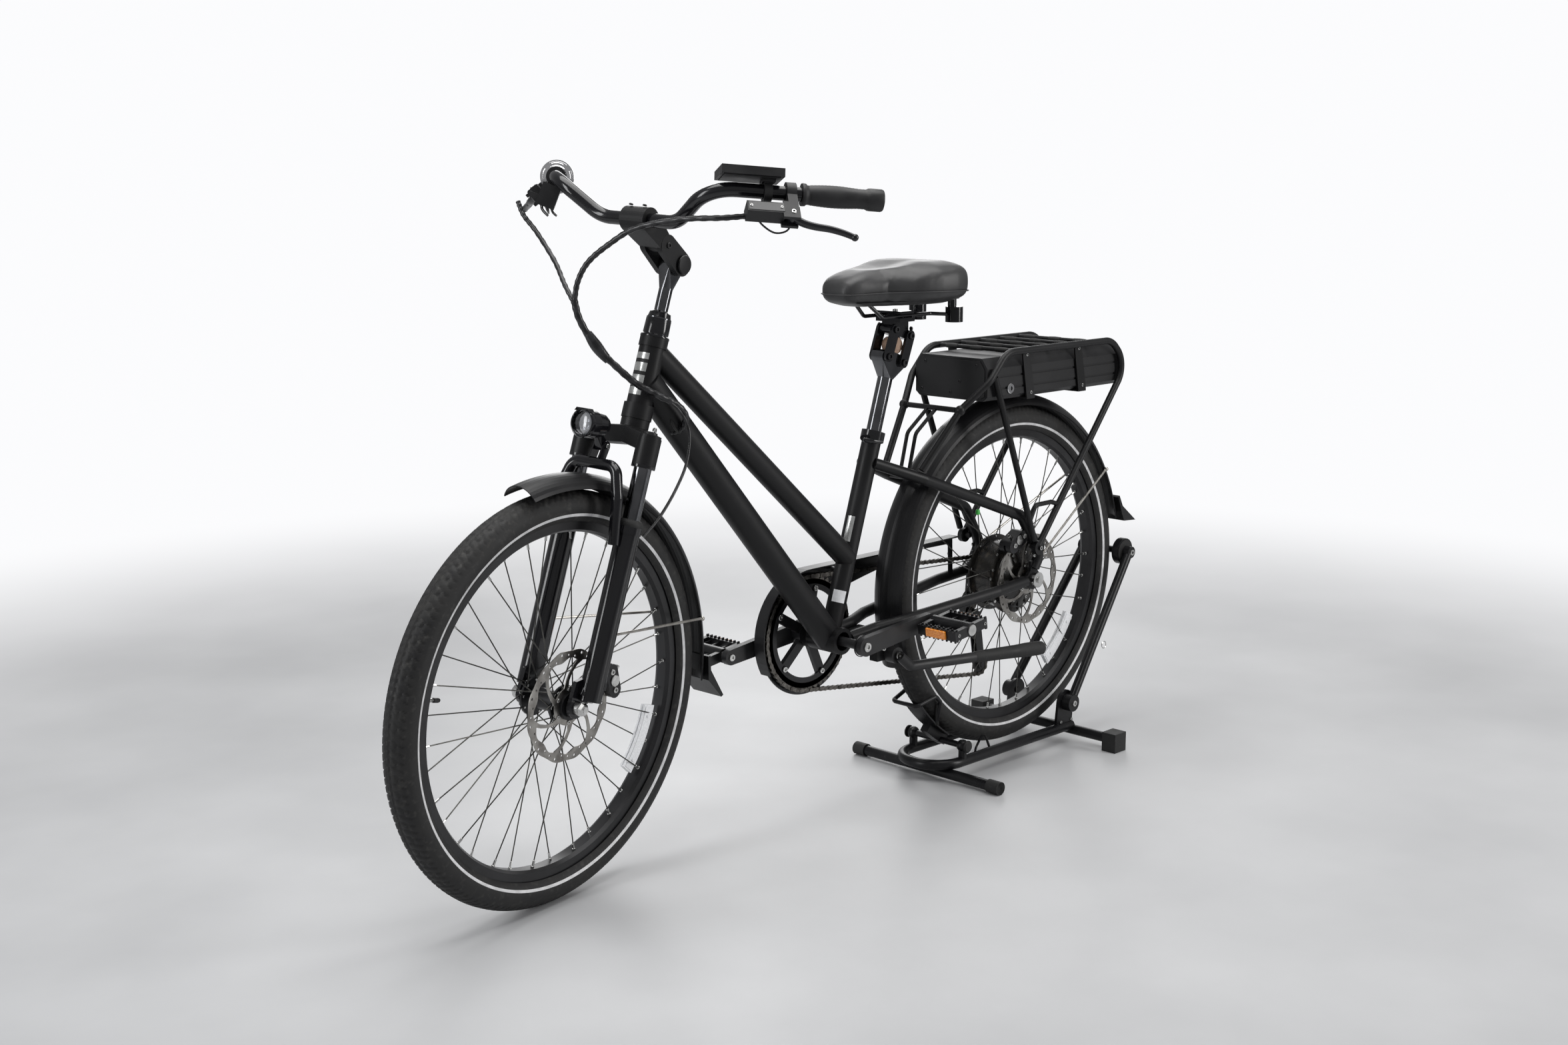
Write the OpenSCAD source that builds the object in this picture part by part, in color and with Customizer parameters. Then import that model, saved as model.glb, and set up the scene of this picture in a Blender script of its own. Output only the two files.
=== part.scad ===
// Step-through electric bicycle held upright in a folding floor stand.
// The frame of reference stands on the floor under the middle of the whole object:
// +X points forwards, +Y to the rider's left and +Z up. All sizes are in millimetres.

/* [Layout] */
// Distance between the two wheel axles
wheelbase = 1128; // [1100:1:1160]
// Height that the stand lifts the rear tyre off the floor
stand_lift = 25; // [20:1:40]
// Angle of the steering axis above the horizontal
head_angle = 71.565; // [69:0.5:74]
// Distance of the front axle in front of the steering axis
fork_offset = 50; // [40:1:60]
// How far the handlebar is turned to the left at rest
steer_rest = 8.8; // [0:0.1:12]

/* [Wheels] */
// Outer radius of both tyres
tyre_r = 333; // [325:1:345]
// Width of both tyres
tyre_w = 54; // [48:1:58]
// Outer radius of the rims
rim_r = 287; // [285:1:290]
// Width of the rims
rim_w = 30; // [28:1:34]
// Number of spokes in each wheel
spoke_count = 36; // [28:4:36]
// Diameter of one spoke
spoke_d = 2; // [1.8:0.1:2.6]
// Outer radius of the brake rotors
rotor_r = 90; // [80:10:90]

/* [Frame] */
// Diameter of the down tube
down_tube_d = 51; // [46:1:54]
// Diameter of the sloping top tube
top_tube_d = 40; // [36:1:44]
// Diameter of the seat tube
seat_tube_d = 35; // [33:1:38]
// Diameter of the chain stays and seat stays
stay_d = 21; // [18:1:22]
// Diameter of the seat post
seatpost_d = 27.2; // [25.4:0.1:30.9]

/* [Drive] */
// Length of each crank
crank_len = 170; // [165:2.5:175]
// Angle of the left crank above the rearward direction
crank_rest = 6; // [0:1:20]
// Pitch radius of the chainring
ring_r = 105; // [96:1:105]

/* [Rack and stand] */
// Half of the distance between the two rack rails
rack_half = 95; // [94:1:97]
// Diameter of the rack tubes
rack_d = 13; // [12:0.5:13]
// Diameter of the stand tubes
stand_tube_d = 20; // [18:1:22]
// Half of the length of the stand's foot bars
foot_half = 178; // [150:1:190]

/* [Hidden] */
$fn = 48;
middle_x = 529.6;            // middle of the object's box ahead of the rear axle
middle_y = -2.5;              // and to the left of the bicycle's own centre plane
run = 0.05;                  // radial clearance of a running fit
gap = 0.4;                   // clearance between bodies that move past each other
rear_z = tyre_r + stand_lift;
rake = 90 - head_angle;
// Foot of the perpendicular from the front axle to the steering axis
steer_x = wheelbase - fork_offset * cos(rake);
steer_z = tyre_r - fork_offset * sin(rake);
bb = [492, 0, 316];          // centre of the bottom bracket
seat_top = [378, 0, 674];    // top of the seat tube
seat_dir = (seat_top - bb) / norm(seat_top - bb);
axle_r = 5;
black = [0.05, 0.05, 0.055];
satin = [0.10, 0.10, 0.11];
steel = [0.62, 0.63, 0.65];
// Places along the steering axis above the axle level
crown_t = 437;
head_low = 461;
head_high = 594;
steerer_d = 28.6;
steerer_top = 612;
elbow_t = 716;
// Fork legs
leg_x = 34;
leg_y = 65;
// Handlebar bends in the fork's own frame, left side
bar_clamp = [100, 0, 759];
bar_low = [100, 78, 759];
bar_bend = [142, 156, 806];
bar_end = [-55, 330, 857];
bar_d = 22.2;
grip_dir = (bar_end - bar_bend) / norm(bar_end - bar_bend);
bar_reach = norm(bar_end - bar_bend);
lever_roll = 42;             // how far the brake levers are turned down round the bar
lever_z = 124;               // lever pivot along the grip section
lever_x = 48;                // and out from the bar's middle
// Suspension seat post pivots
link_low_front = [358, 0, 812];
link_low_rear = [318, 0, 798];
link_vector = [-18, 0, 47];
clamp_at = [321, 0, 880];    // saddle clamp
// Kickstand
kick_pivot = [372, 44, 272];
kick_foot = [190, 90, 241];  // where the rubber foot begins
// Derailleur
pulley_up = [22, -52, 262];
pulley_low = [6, -52, 166];
pulley_r = 20;               // pitch radius of both guide pulleys
cage_pivot = [26, -66, 276];
chain_y = -52;
pedal_depth = 80;            // how far each pedal axle reaches into its pedal
cog_r = 28;
// Stand
arm_pivot = [-128, 0, 84];
roller_at = [-341, 0, 358];
cradle_pivot = [190, 0, 62];
// Headlamp hinge in the fork's own frame
lamp_pivot = [66, 0, 405];
lamp_at = [71, 0, 436];
rail_half = 62;

// ---- Frames of reference ----

// The bicycle's own frame: origin on the floor under the rear axle
module bike() { translate([-middle_x, -middle_y, 0]) children(); }
// The rear wheel's centre
module at_rear() { bike() translate([0, 0, rear_z]) children(); }
// The turned fork: z runs up the steering axis and x forwards from it
module fork() {
    bike() translate([steer_x, 0, steer_z]) rotate([0, -rake, 0]) rotate([0, 0, steer_rest]) children();
}
// The front wheel's centre in the turned fork
module at_front() { fork() translate([fork_offset, 0, 0]) children(); }
// One grip section: z runs outwards along the bar, x away from the rider and y downwards
module grip_section(side) {
    ahead = cross(grip_dir, [sin(rake), 0, cos(rake)]);
    x = ahead / norm(ahead);
    y = cross(grip_dir, x);
    b = bar_bend;
    fork() mirror([0, side < 0 ? 1 : 0, 0])
        multmatrix([[x.x, y.x, grip_dir.x, b.x], [x.y, y.y, grip_dir.y, b.y],
                    [x.z, y.z, grip_dir.z, b.z], [0, 0, 0, 1]]) children();
}
// The brake lever's own frame: its pivot axis is y and the lever lies in the xz plane
module lever_section(side) {
    grip_section(side) rotate([0, 0, lever_roll]) translate([lever_x, 0, lever_z]) children();
}
// The crank's frame: x runs from the bottom bracket along the left crank
module crank_frame() {
    bike() translate(bb) rotate([0, 180 + crank_rest, 0]) children();
}

// ---- Shapes that repeat ----

function unit(v) = v / norm(v);
function turn(p, i) = acos(max(-1, min(1, unit(p[i] - p[i - 1]) * unit(p[i + 1] - p[i]))));
// Below this turn, in degrees, a corner of a tube is a ball and not a bend
slight = 8;
function trim(p, i, r) =
    i <= 0 || i >= len(p) - 1 ? 0 : turn(p, i) < slight ? 1 : r * tan(turn(p, i) / 2);
function flip(p) = [for (q = p) [q.x, -q.y, q.z]];
function arc(centre, r, from, to, steps) =
    [for (i = [0:steps]) let (a = from + (to - from) * i / steps) centre + r * [cos(a), sin(a)]];

// A round bar from one point to another
module rod(a, b, d) {
    v = b - a;
    translate(a) rotate([0, acos(v.z / norm(v)), atan2(v.y, v.x)]) cylinder(h = norm(v), d = d);
}
// One bend of a tube at point i of its path, a hair thicker than the straights that it joins
module elbow(p, i, d, r) {
    u = unit(p[i] - p[i - 1]);
    n = unit(cross(u, unit(p[i + 1] - p[i])));
    x = -cross(n, u);
    c = p[i] - u * trim(p, i, r) - x * r;
    if (turn(p, i) < slight) translate(p[i]) sphere(d = d + 0.2);
    else multmatrix([[x.x, u.x, n.x, c.x], [x.y, u.y, n.y, c.y], [x.z, u.z, n.z, c.z], [0, 0, 0, 1]])
        rotate_extrude(angle = turn(p, i)) translate([r, 0]) circle(d = d + 0.2);
}
// A tube along a path, with the same bend radius at every corner; the straights end inside the bends
module bent_tube(p, d, r) {
    last = len(p) - 2;
    for (i = [0:last]) {
        u = unit(p[i + 1] - p[i]);
        lap_in = i > 0 ? trim(p, i, r) - 1 : 0;
        lap_out = i < last ? trim(p, i + 1, r) - 1 : 0;
        rod(p[i] + u * lap_in, p[i + 1] - u * lap_out, d);
    }
    for (i = [1:1:last]) elbow(p, i, d, r);
}
// A round bar across the bicycle, between two y values, through the point p
module across(p, y0, y1, r) { translate([p.x, y0, p.z]) rotate([-90, 0, 0]) cylinder(h = y1 - y0, r = r); }
// A flat plate in the xz plane between two y values
module plate(y0, y1) { translate([0, y1, 0]) rotate([90, 0, 0]) linear_extrude(y1 - y0) children(); }
// A ring round the y axis whose section is drawn as [radius, y]
module wheel_ring() { rotate([-90, 0, 0]) rotate_extrude() children(); }
// Part of such a ring from one angle to another, measured from +X towards +Z
module wheel_arc(from, to) {
    rotate([90, 0, 0]) rotate([0, 0, from]) rotate_extrude(angle = to - from) children();
}
module both_sides() { children(); mirror([0, 1, 0]) children(); }

// Catmull-Rom curve through hand-placed points, and a round tube swept along it
function spline(p, k) = [for (i = [0:len(p) - 2], j = [0:k - 1])
    let (t = j / k, a = p[max(i - 1, 0)], b = p[i], c = p[i + 1], d = p[min(i + 2, len(p) - 1)])
    0.5 * (2 * b + (c - a) * t + (2 * a - 5 * b + 4 * c - d) * t * t
        + (3 * b - a - 3 * c + d) * t * t * t)];
function curve(p, k) = concat(spline(p, k), [p[len(p) - 1]]);
module swept(p, d, sides) {
    n = len(p);
    dirs = [for (i = [0:n - 1]) unit(p[min(i + 1, n - 1)] - p[max(i - 1, 0)])];
    rings = [for (i = [0:n - 1])
        let (side = unit(cross(dirs[i], abs(dirs[i].y) > 0.9 ? [1, 0, 0] : [0, 1, 0])), up = cross(side, dirs[i]))
        for (s = [0:sides - 1]) p[i] + d / 2 * (side * cos(360 * s / sides) + up * sin(360 * s / sides))];
    walls = [for (i = [0:n - 2], s = [0:sides - 1])
        let (a = i * sides + s, b = i * sides + (s + 1) % sides) [a, b, b + sides, a + sides]];
    ends = [[for (s = [sides - 1:-1:0]) s], [for (s = [0:sides - 1]) (n - 1) * sides + s]];
    polyhedron(rings, concat(walls, ends));
}

// ---- Wheels ----

module tyre() {
    r = tyre_w / 2;
    wheel_ring() translate([tyre_r - r, 0]) difference() {
        circle(r = r);
        circle(r = r - 3.5);
        translate([-2 * r - (tyre_r - r - rim_r), -r]) square(2 * r);
    }
}
module rim() {
    half = rim_w / 2;
    wheel_ring() polygon([[rim_r - 19, -9], [rim_r - 15, -half], [rim_r, -half], [rim_r, 2.5 - half],
        [rim_r - 14, 2.5 - half], [rim_r - 14, half - 2.5], [rim_r, half - 2.5], [rim_r, half],
        [rim_r - 15, half], [rim_r - 19, 9]]);
}
// Crossed spokes from a flange of radius flange_r at y = left or right, each turned by lead degrees
module spokes(flange_r, left, right, lead) {
    step = 360 / spoke_count;
    // Leading spokes leave the outer face of the flange and trailing ones the inner, so none touch
    hub_lace = 1.6;
    rim_lace = 1;
    for (i = [0:spoke_count - 1]) {
        side = i % 2 == 0 ? 1 : -1;
        way = floor(i / 2) % 2 == 0 ? 1 : -1;
        a = i * step;
        h = a + way * lead;
        rod([flange_r * cos(h), (side > 0 ? left : right) + side * way * hub_lace, flange_r * sin(h)],
            [(rim_r - 18) * cos(a), side * (3 + way * rim_lace), (rim_r - 18) * sin(a)], spoke_d);
    }
}
module rotor(y, hole_r) {
    arms = 6;
    translate([0, y, 0]) rotate([-90, 0, 0]) {
        difference() { cylinder(h = 2, r = rotor_r); translate([0, 0, -1]) cylinder(h = 4, r = rotor_r - 15); }
        difference() { cylinder(h = 2, r = hole_r + 9); translate([0, 0, -1]) cylinder(h = 4, r = hole_r); }
        for (i = [0:arms - 1]) rotate([0, 0, i * 360 / arms])
            translate([hole_r + 7, 8, 0]) rotate([0, 0, 14]) cube([rotor_r - hole_r - 20, 7, 2]);
    }
}
module front_tyre() color(black) at_front() tyre();
module front_rim() color(satin) at_front() rim();
module front_spokes() color(steel) at_front() spokes(27, 29, -33, 36);
module front_hub() {
    color(satin) at_front() wheel_ring() polygon([[axle_r + run, -46], [12, -46], [12, -36], [31, -35],
        [31, -31], [17, -28], [17, 24], [31, 27], [31, 31], [22, 32], [22, 46], [axle_r + run, 46]]);
}
module front_rotor() color(steel) at_front() rotor(38, 22);
module front_axle() {
    color(steel) at_front() {
        across([0, 0, 0], -76, 76, axle_r);
        for (y = [-67, 58]) across([0, 0, 0], y, y + 9, 11);
    }
}
module rear_tyre() color(black) at_rear() tyre();
module rear_rim() color(satin) at_rear() rim();
module rear_spokes() color(steel) at_rear() spokes(71, 25, -25, 17);
module hub_motor() {
    color(black) at_rear() wheel_ring() polygon([[axle_r + 1 + run, -38], [30, -38], [62, -34], [62, -27],
        [75, -27], [75, -23], [66, -22], [66, 22], [75, 23], [75, 27], [62, 27], [62, 36], [34, 45],
        [22, 47], [22, 62], [axle_r + 1 + run, 62]]);
}
module rear_rotor() color(steel) at_rear() rotor(59.6, 22);
module rear_axle() {
    color(steel) at_rear() {
        across([0, 0, 0], -94, 92, axle_r + 1);
        for (y = [-90, 76]) across([0, 0, 0], y, y + 10, 13);
    }
}
module freewheel_cogs() {
    radii = [54, 47, 40, cog_r - 3.8, 22, 20];
    first_y = -41;
    pitch = 4;
    color(steel) at_rear() {
        wheel_ring() translate([axle_r + 1 + run, -67]) square([11, 28.5]);
        for (i = [0:len(radii) - 1]) wheel_ring() translate([16, first_y - pitch * i]) square([radii[i] - 16, 2]);
    }
}

// ---- Welded frame ----

// A point on the steering axis in the bicycle's frame, at height t above the axle level
function on_head(t) = [steer_x - t * sin(rake), 0, steer_z + t * cos(rake)];
down_top = [915.5, 0, 813.6];
top_low = [447, 0, 456];
top_high = [899.4, 0, 861.9];

module main_frame() {
    color(satin) bike() difference() {
        union() {
            rod(on_head(head_low), on_head(head_high), 42);
            rod(on_head(head_low), on_head(head_low + 24), 49);
            rod(on_head(head_high - 16), on_head(head_high), 46);
            rod(bb, down_top, down_tube_d);
            rod(top_low, top_high, top_tube_d);
            rod(bb, seat_top, seat_tube_d);
            across(bb, -35, 35, 24);
            rod([660, 0, 633], [664, 0, 652], 9);
            rod([720, 0, 687], [724, 0, 706], 9);
        }
        rod(on_head(head_low - 20), on_head(head_high + 20), steerer_d + 2 * run);
        rod(on_head(head_low + 12), on_head(head_high - 12), 34);
        rod(bb + 40 * seat_dir, seat_top + 20 * seat_dir, seatpost_d + 2 * run);
        across(bb, -60, 60, 17);
    }
}
// A hook plate round the rear axle on one side
module dropout() {
    plate(69.5, 75.5) difference() {
        union() {
            translate([0, rear_z]) circle(r = 20);
            translate([0, rear_z - 9]) square([44, 18]);
            translate([-9, rear_z]) square([18, 36]);
        }
        translate([0, rear_z]) circle(r = axle_r + 1 + run);
    }
}
module chainstays() {
    path = [[470, 28, 318], [405, 31, 324], [352, 46, 331], [110, 75, 351], [24, 75, 357]];
    color(satin) bike() {
        difference() {
            both_sides() bent_tube(path, stay_d, 40);
            across(bb, -60, 60, 24.05);
        }
        both_sides() dropout();
        // Kickstand plate under the stays
        translate([384, -28, 300]) cube([40, 60, 18]);
        translate([360, 18, 262]) cube([44, 19, 39]);
        across(kick_pivot, 18, 60, 4);
    }
}
module seatstays() {
    path = [[392, 14, 623], [290, 46, 585], [34, 70, 486], [-18, 75, 405], [0, 75, 378]];
    color(satin) bike() {
        difference() {
            both_sides() bent_tube(path, stay_d, 26);
            rod(bb, seat_top, seat_tube_d + 0.1);
            translate([0, 0, rear_z]) rotate([90, 0, 0]) cylinder(h = 200, r = 20.1, center = true);
            for (y = [-1, 1]) translate([-9.05, y * 72.5 - 3.05, rear_z]) cube([18.1, 6.1, 36.05]);
        }
        rod([290, -46, 585], [290, 46, 585], 12);
    }
}
module seat_clamp() {
    color(black) bike() {
        difference() {
            rod(seat_top - 14 * seat_dir, seat_top + 4 * seat_dir, seat_tube_d + 8);
            rod(seat_top - 20 * seat_dir, seat_top, seat_tube_d + 0.1);
            rod(seat_top - 20 * seat_dir, seat_top + 20 * seat_dir, seatpost_d + 2 * run);
        }
        translate(seat_top - 5 * seat_dir) {
            rod([-20, -6, 0], [-34, -16, 0], 11);
            rod([20, 6, 0], [40, 14, 2], 11);
        }
    }
}

// ---- Fenders, rack and battery ----

// Curved fender section with its crown at radius r
module fender_section(r) {
    bow = 36;
    spread = 66;
    polygon(concat(arc([r - bow, 0], bow, -spread, spread, 15), arc([r - bow, 0], bow - 1.8, spread, -spread, 15)));
}
module rear_fender() {
    r = 355;
    color(black) at_rear() {
        wheel_arc(-21, 168) fender_section(r);
        plate(-31, 31) polygon([[-336, 112], [-340, 115], [-352, 92], [-398, 57], [-358, 60], [-350, 76]]);
        // Wire stays and their bosses on the fender's edges
        both_sides() rod([-278, 36.6, 176], [-22, 77, 45], 4);
        both_sides() rod([-282, 30, 178], [-282, 37, 178], 8);
        // Bolts up to the rack and forwards to the bridge of the seat stays
        rod([40, 0, 349], [40, 0, 357], 10);
        rod([273, 0, 222], [288, 0, 228], 10);
    }
}
module front_fender() {
    r = 359;
    color(black) at_front() {
        wheel_arc(60, 168) fender_section(r);
        plate(-31, 31) polygon([[-336, 112], [-341, 114], [-352, 90], [-402, 52], [-398, 48], [-352, 72]]);
        both_sides() rod([-283, 36.7, 172.1], [-30, 70, 121], 4);
        both_sides() rod([-287.5, 30, 173], [-287.5, 37, 173], 8);
    }
}
module rack_side() {
    bent_tube([[9, 92, 427], [-185, rack_half, 668], [-258, rack_half, 757], [-206, rack_half, 807],
        [118, rack_half, 807], [166, rack_half, 757], [218, 68, 706], [296, 44, 602]], rack_d, 48);
    rod([22, 92, 440], [152, rack_half, 763], rack_d - 1);
    bent_tube([[36, 92, 480], [20, 92, 508], [-28, 92, 508], [-54, 92, 500]], 9, 12);
    rod([10, 87, 424], [10, 97, 424], 28);
    rod([10, 76, 424], [10, 101, 424], 9);
    translate([218, 68, 706]) sphere(d = 19);
}
module rear_rack() {
    slats = [-150, -90, -30, 30, 90];
    straps = [-112, 48];
    // The cross pieces end a hair short of the side frames, so each stays a solid of its own
    slat_half = rack_half - rack_d / 2 - 0.1;
    color(satin) bike() {
        both_sides() rack_side();
        rod([218, -58.4, 706], [218, 58.4, 706], 10);
        for (y = [-10, 10]) bent_tube([[216, y, 706], [274, y, 664], [294, y, 588]], 7, 20);
        for (x = slats) rod([x, -slat_half, 807], [x, slat_half, 807], 8);
        for (x = straps) {
            both_sides() plate(88.3, 91.3)
                polygon([[x - 3, 801.5], [x + 19, 801.5], [x + 4, 716], [x - 20, 716]]);
            translate([x - 20, -91, 714]) cube([24, 182, 3.6]);
        }
    }
}
module battery_case() {
    half = 87;
    front = 164;
    rear = -246;
    // Section of the case, flat below and chamfered above
    section = [[-half, 726], [-half + 10, 718], [half - 10, 718], [half, 726], [half, 778],
        [half - 14, 797], [-half + 14, 797], [-half, 778]];
    color(black) bike() translate([rear, 0, 0]) difference() {
        rotate([90, 0, 90]) linear_extrude(front - rear) polygon(section);
        // Two long grooves in each side
        for (side = [-1, 1], z = [738, 760]) translate([16, side * half - 2, z]) cube([360, 4, 4]);
    }
}

// ---- Drive ----

module chain_guard() {
    c = [bb.x, bb.z];
    r = ring_r + 15;
    outline = concat(arc(c, r, -30, 92, 20), [[300, 436], [84, 438], [76, 430], [74, 356], [86, 356],
        [88, 420], [180, 421], [330, 394], [400, 380]], arc(c, ring_r + 8, 140, -30, 24));
    color(black) bike() {
        plate(-68, -66) polygon(outline);
        // Flange over the top of the chain
        plate(-66, -44) polygon(concat(arc(c, r, -30, 92, 20), [[300, 436], [84, 438], [84, 435.5], [300, 433.5]],
            arc(c, r - 2.4, 92, -30, 20)));
        // Bracket to the seat tube
        rod([430, -66.5, 428], [452, -15, 432], 8);
    }
}
// Angle at which a straight chain run leaves circle a for circle b; sign picks the side of the line of centres
function leaving(a, b, reach, sign) =
    atan2(b.y - a.y, b.x - a.x) + sign * acos(reach / norm(b - a));
// Side outline of the chain, grown or shrunk by h round its pitch line
function chain_loop(h) =
    let (ring = [bb.x, bb.z], low = [pulley_low.x, pulley_low.z], up = [pulley_up.x, pulley_up.z],
        cog = [0, rear_z], top = leaving(ring, cog, ring_r - cog_r, -1),
        under = leaving(ring, low, ring_r - pulley_r, 1),
        behind = leaving(low, up, 2 * pulley_r, 1), back = leaving(cog, up, cog_r + pulley_r, -1))
    concat(arc(ring, ring_r + h, top, under, 30), arc(low, pulley_r + h, under, behind - 360, 12),
        arc(up, pulley_r - h, behind - 180, back + 180, 8), arc(cog, cog_r + h, back + 360, top, 12));
module chain() {
    color(steel) bike() plate(chain_y - 2.6, chain_y + 2.6) {
        outer = chain_loop(3.6);
        inner = chain_loop(-3.6);
        polygon(concat(outer, inner), [[for (i = [0:len(outer) - 1]) i],
            [for (i = [0:len(inner) - 1]) len(outer) + i]]);
    }
}
module derailleur() {
    color(black) bike() {
        difference() {
            union() {
                plate(-79.8, -75.6) polygon([[-12, 372], [14, 372], [20, 300], [10, 286], [-4, 300]]);
                rod([12, -84, 300], [12, -70, 300], 20);
                rod([12, -74, 300], [26, -74, 276], 18);
                rod([26, -80, 276], [26, -63.5, 276], 20);
            }
            across([0, 0, rear_z], -90, -70, axle_r + 1.1);
            across(cage_pivot, -70, -50, 4 + run);
        }
    }
}
module derailleur_cage() {
    color(black) bike() {
        across(cage_pivot, -69, -58, 4);
        for (y = [-60, -46]) plate(y, y + 2) hull() {
            translate([pulley_up.x, pulley_up.z]) circle(r = 9);
            translate([cage_pivot.x, cage_pivot.z]) circle(r = 7);
            translate([pulley_low.x, pulley_low.z]) circle(r = 9);
        }
        for (p = [pulley_up, pulley_low]) {
            across(p, -60, -44, 3);
            across(p, chain_y - 1, chain_y + 1, pulley_r - 4);
        }
    }
}
module cranks() {
    color(black) crank_frame() {
        across([0, 0, 0], -78, 92, 8.5);
        // Left arm, the right arm that points the other way, and the pedal axles
        hull() for (x = [0, crank_len]) across([x, 0, 0], 80, 93, x == 0 ? 17 : 14);
        hull() for (x = [0, -crank_len]) across([x, 0, 0], -86, -74, x == 0 ? 17 : 14);
        across([crank_len, 0, 0], 90, 93 + pedal_depth, 5);
        across([-crank_len, 0, 0], -86 - pedal_depth, -84, 5);
    }
}
module chainring() {
    arms = 5;
    color(black) crank_frame() {
        difference() {
            across([0, 0, 0], chain_y - 1, chain_y + 1, ring_r - 4.5);
            across([0, 0, 0], chain_y - 5, chain_y + 5, ring_r - 24);
        }
        difference() {
            across([0, 0, 0], -61, -58.5, ring_r + 9);
            across([0, 0, 0], -70, -50, ring_r - 20);
        }
        difference() {
            across([0, 0, 0], -73.5, -50, 24);
            across([0, 0, 0], -80, -40, 8.6);
        }
        for (i = [0:arms - 1]) rotate([0, i * 360 / arms, 0]) translate([20, -61, -9]) cube([ring_r - 38, 8.6, 18]);
        for (i = [0:arms - 1]) rotate([0, i * 360 / arms, 0]) across([ring_r - 22, 0, 0], -61, -50, 6);
    }
}
// One pedal round its own axle, from the crank's face outwards along +Y, with its cage level
module pedal() {
    body_in = 8;
    body_out = 96;
    difference() {
        union() {
            for (x = [-44, 36]) translate([x, body_in, -9]) cube([8, body_out - body_in, 18]);
            for (y = [body_in, body_out - 9]) translate([-44, y, -9]) cube([88, 9, 18]);
            rotate([-90, 0, 0]) translate([0, 0, body_in]) cylinder(h = body_out - body_in, r = 13);
            for (x = [-48, 44]) translate([x, 30, -7]) cube([4, 44, 14]);
        }
        rotate([-90, 0, 0]) translate([0, 0, -10]) cylinder(h = 11 + pedal_depth, r = 5 + run);
    }
}
module pedal_at(side) {
    bike() translate(bb) mirror([0, side < 0 ? 1 : 0, 0])
        translate([-side * crank_len * cos(crank_rest), side > 0 ? 93 : 86, side * crank_len * sin(crank_rest)])
            rotate([0, 8, 0]) children();
}
module pedal_left() color(black) pedal_at(1) pedal();
module pedal_right() color(black) pedal_at(-1) pedal();

// ---- Brakes ----

module caliper_block() {
    // Two halves straddle the rotor's edge, which runs in the slot between them
    difference() {
        hull() for (x = [-16, 16]) translate([x, 0, 0]) rotate([-90, 0, 0]) cylinder(h = 27, r = 13, center = true, $fn = 32);
        translate([-40, -2.2, -40]) cube([80, 4.4, 48]);
    }
}
module rear_caliper() {
    a = 62;
    color(black) at_rear() translate([(rotor_r + 2) * cos(a) + 2, 60.6, (rotor_r + 2) * sin(a) - 2])
        rotate([0, 90 - a, 0]) caliper_block();
}
module front_caliper() {
    a = 148;
    color(black) at_front() translate([(rotor_r + 3) * cos(a), 39, (rotor_r + 3) * sin(a)])
        rotate([0, 90 - a, 0]) caliper_block();
    // Adapter to the left fork leg
    color(black) at_front() translate([-64, 46, 32]) cube([36, 7, 44]);
}

// ---- Fork ----

module fork_crown() {
    color(satin) fork() {
        rod([0, 0, 430], [0, 0, steerer_top], steerer_d);
        rod([0, 0, 430], [0, 0, head_low - gap], 46);
        difference() {
            union() {
                both_sides() hull() {
                    translate([2, 0, crown_t - 15]) cylinder(h = 26, d = 40, $fn = 32);
                    translate([leg_x, leg_y, crown_t - 25]) cylinder(h = 24, d = 36, $fn = 32);
                }
                both_sides() rod([leg_x, leg_y, 386], [leg_x, leg_y, 432], 38);
            }
            both_sides() rod([leg_x, leg_y, 380], [leg_x, leg_y, 424], 28.1);
        }
    }
}
module fork_stanchions() {
    color(steel) fork() both_sides() rod([leg_x, leg_y, 240], [leg_x, leg_y, 424], 28);
}
module fork_lowers() {
    top = 291;
    color(black) fork() difference() {
        union() {
            both_sides() {
                rod([leg_x, leg_y, 14], [leg_x, leg_y, top], 38);
                rod([leg_x, leg_y, top - 12], [leg_x, leg_y, top], 41);
                plate(50.5, 57.5) polygon(concat(arc([fork_offset, 0], 17, -180, 0, 10),
                    [[fork_offset + 14, 40], [fork_offset - 30, 60]]));
                rod([leg_x + 6, leg_y - 4, 20], [leg_x, leg_y, 60], 30);
            }
            bent_tube([[58, -62, 258], [72, -60, 330], [72, -44, 376], [72, 44, 376], [72, 60, 330], [58, 62, 258]], 18, 22);
            // Ears and pin for the headlamp
            for (y = [-11, 8]) hull() {
                translate([lamp_pivot.x, y, lamp_pivot.z]) rotate([-90, 0, 0]) cylinder(h = 3, r = 8, $fn = 32);
                translate([72, y, 376]) rotate([-90, 0, 0]) cylinder(h = 3, r = 8, $fn = 32);
            }
            across(lamp_pivot, -12, 12, 3);
        }
        both_sides() rod([leg_x, leg_y, 180], [leg_x, leg_y, 400], 28 + 2 * run);
        across([fork_offset, 0, 0], -90, 90, axle_r + 0.1);
        // Room for the hub between the legs
        both_sides() translate([-20, 44, -30]) cube([90, 6.4, 120]);
        // Clear of the front axle nuts
        for (y = [57.6, -90]) translate([fork_offset, y, 0]) rotate([-90, 0, 0]) cylinder(h = 32.4, r = 12);
    }
}

// ---- Lights ----

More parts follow.
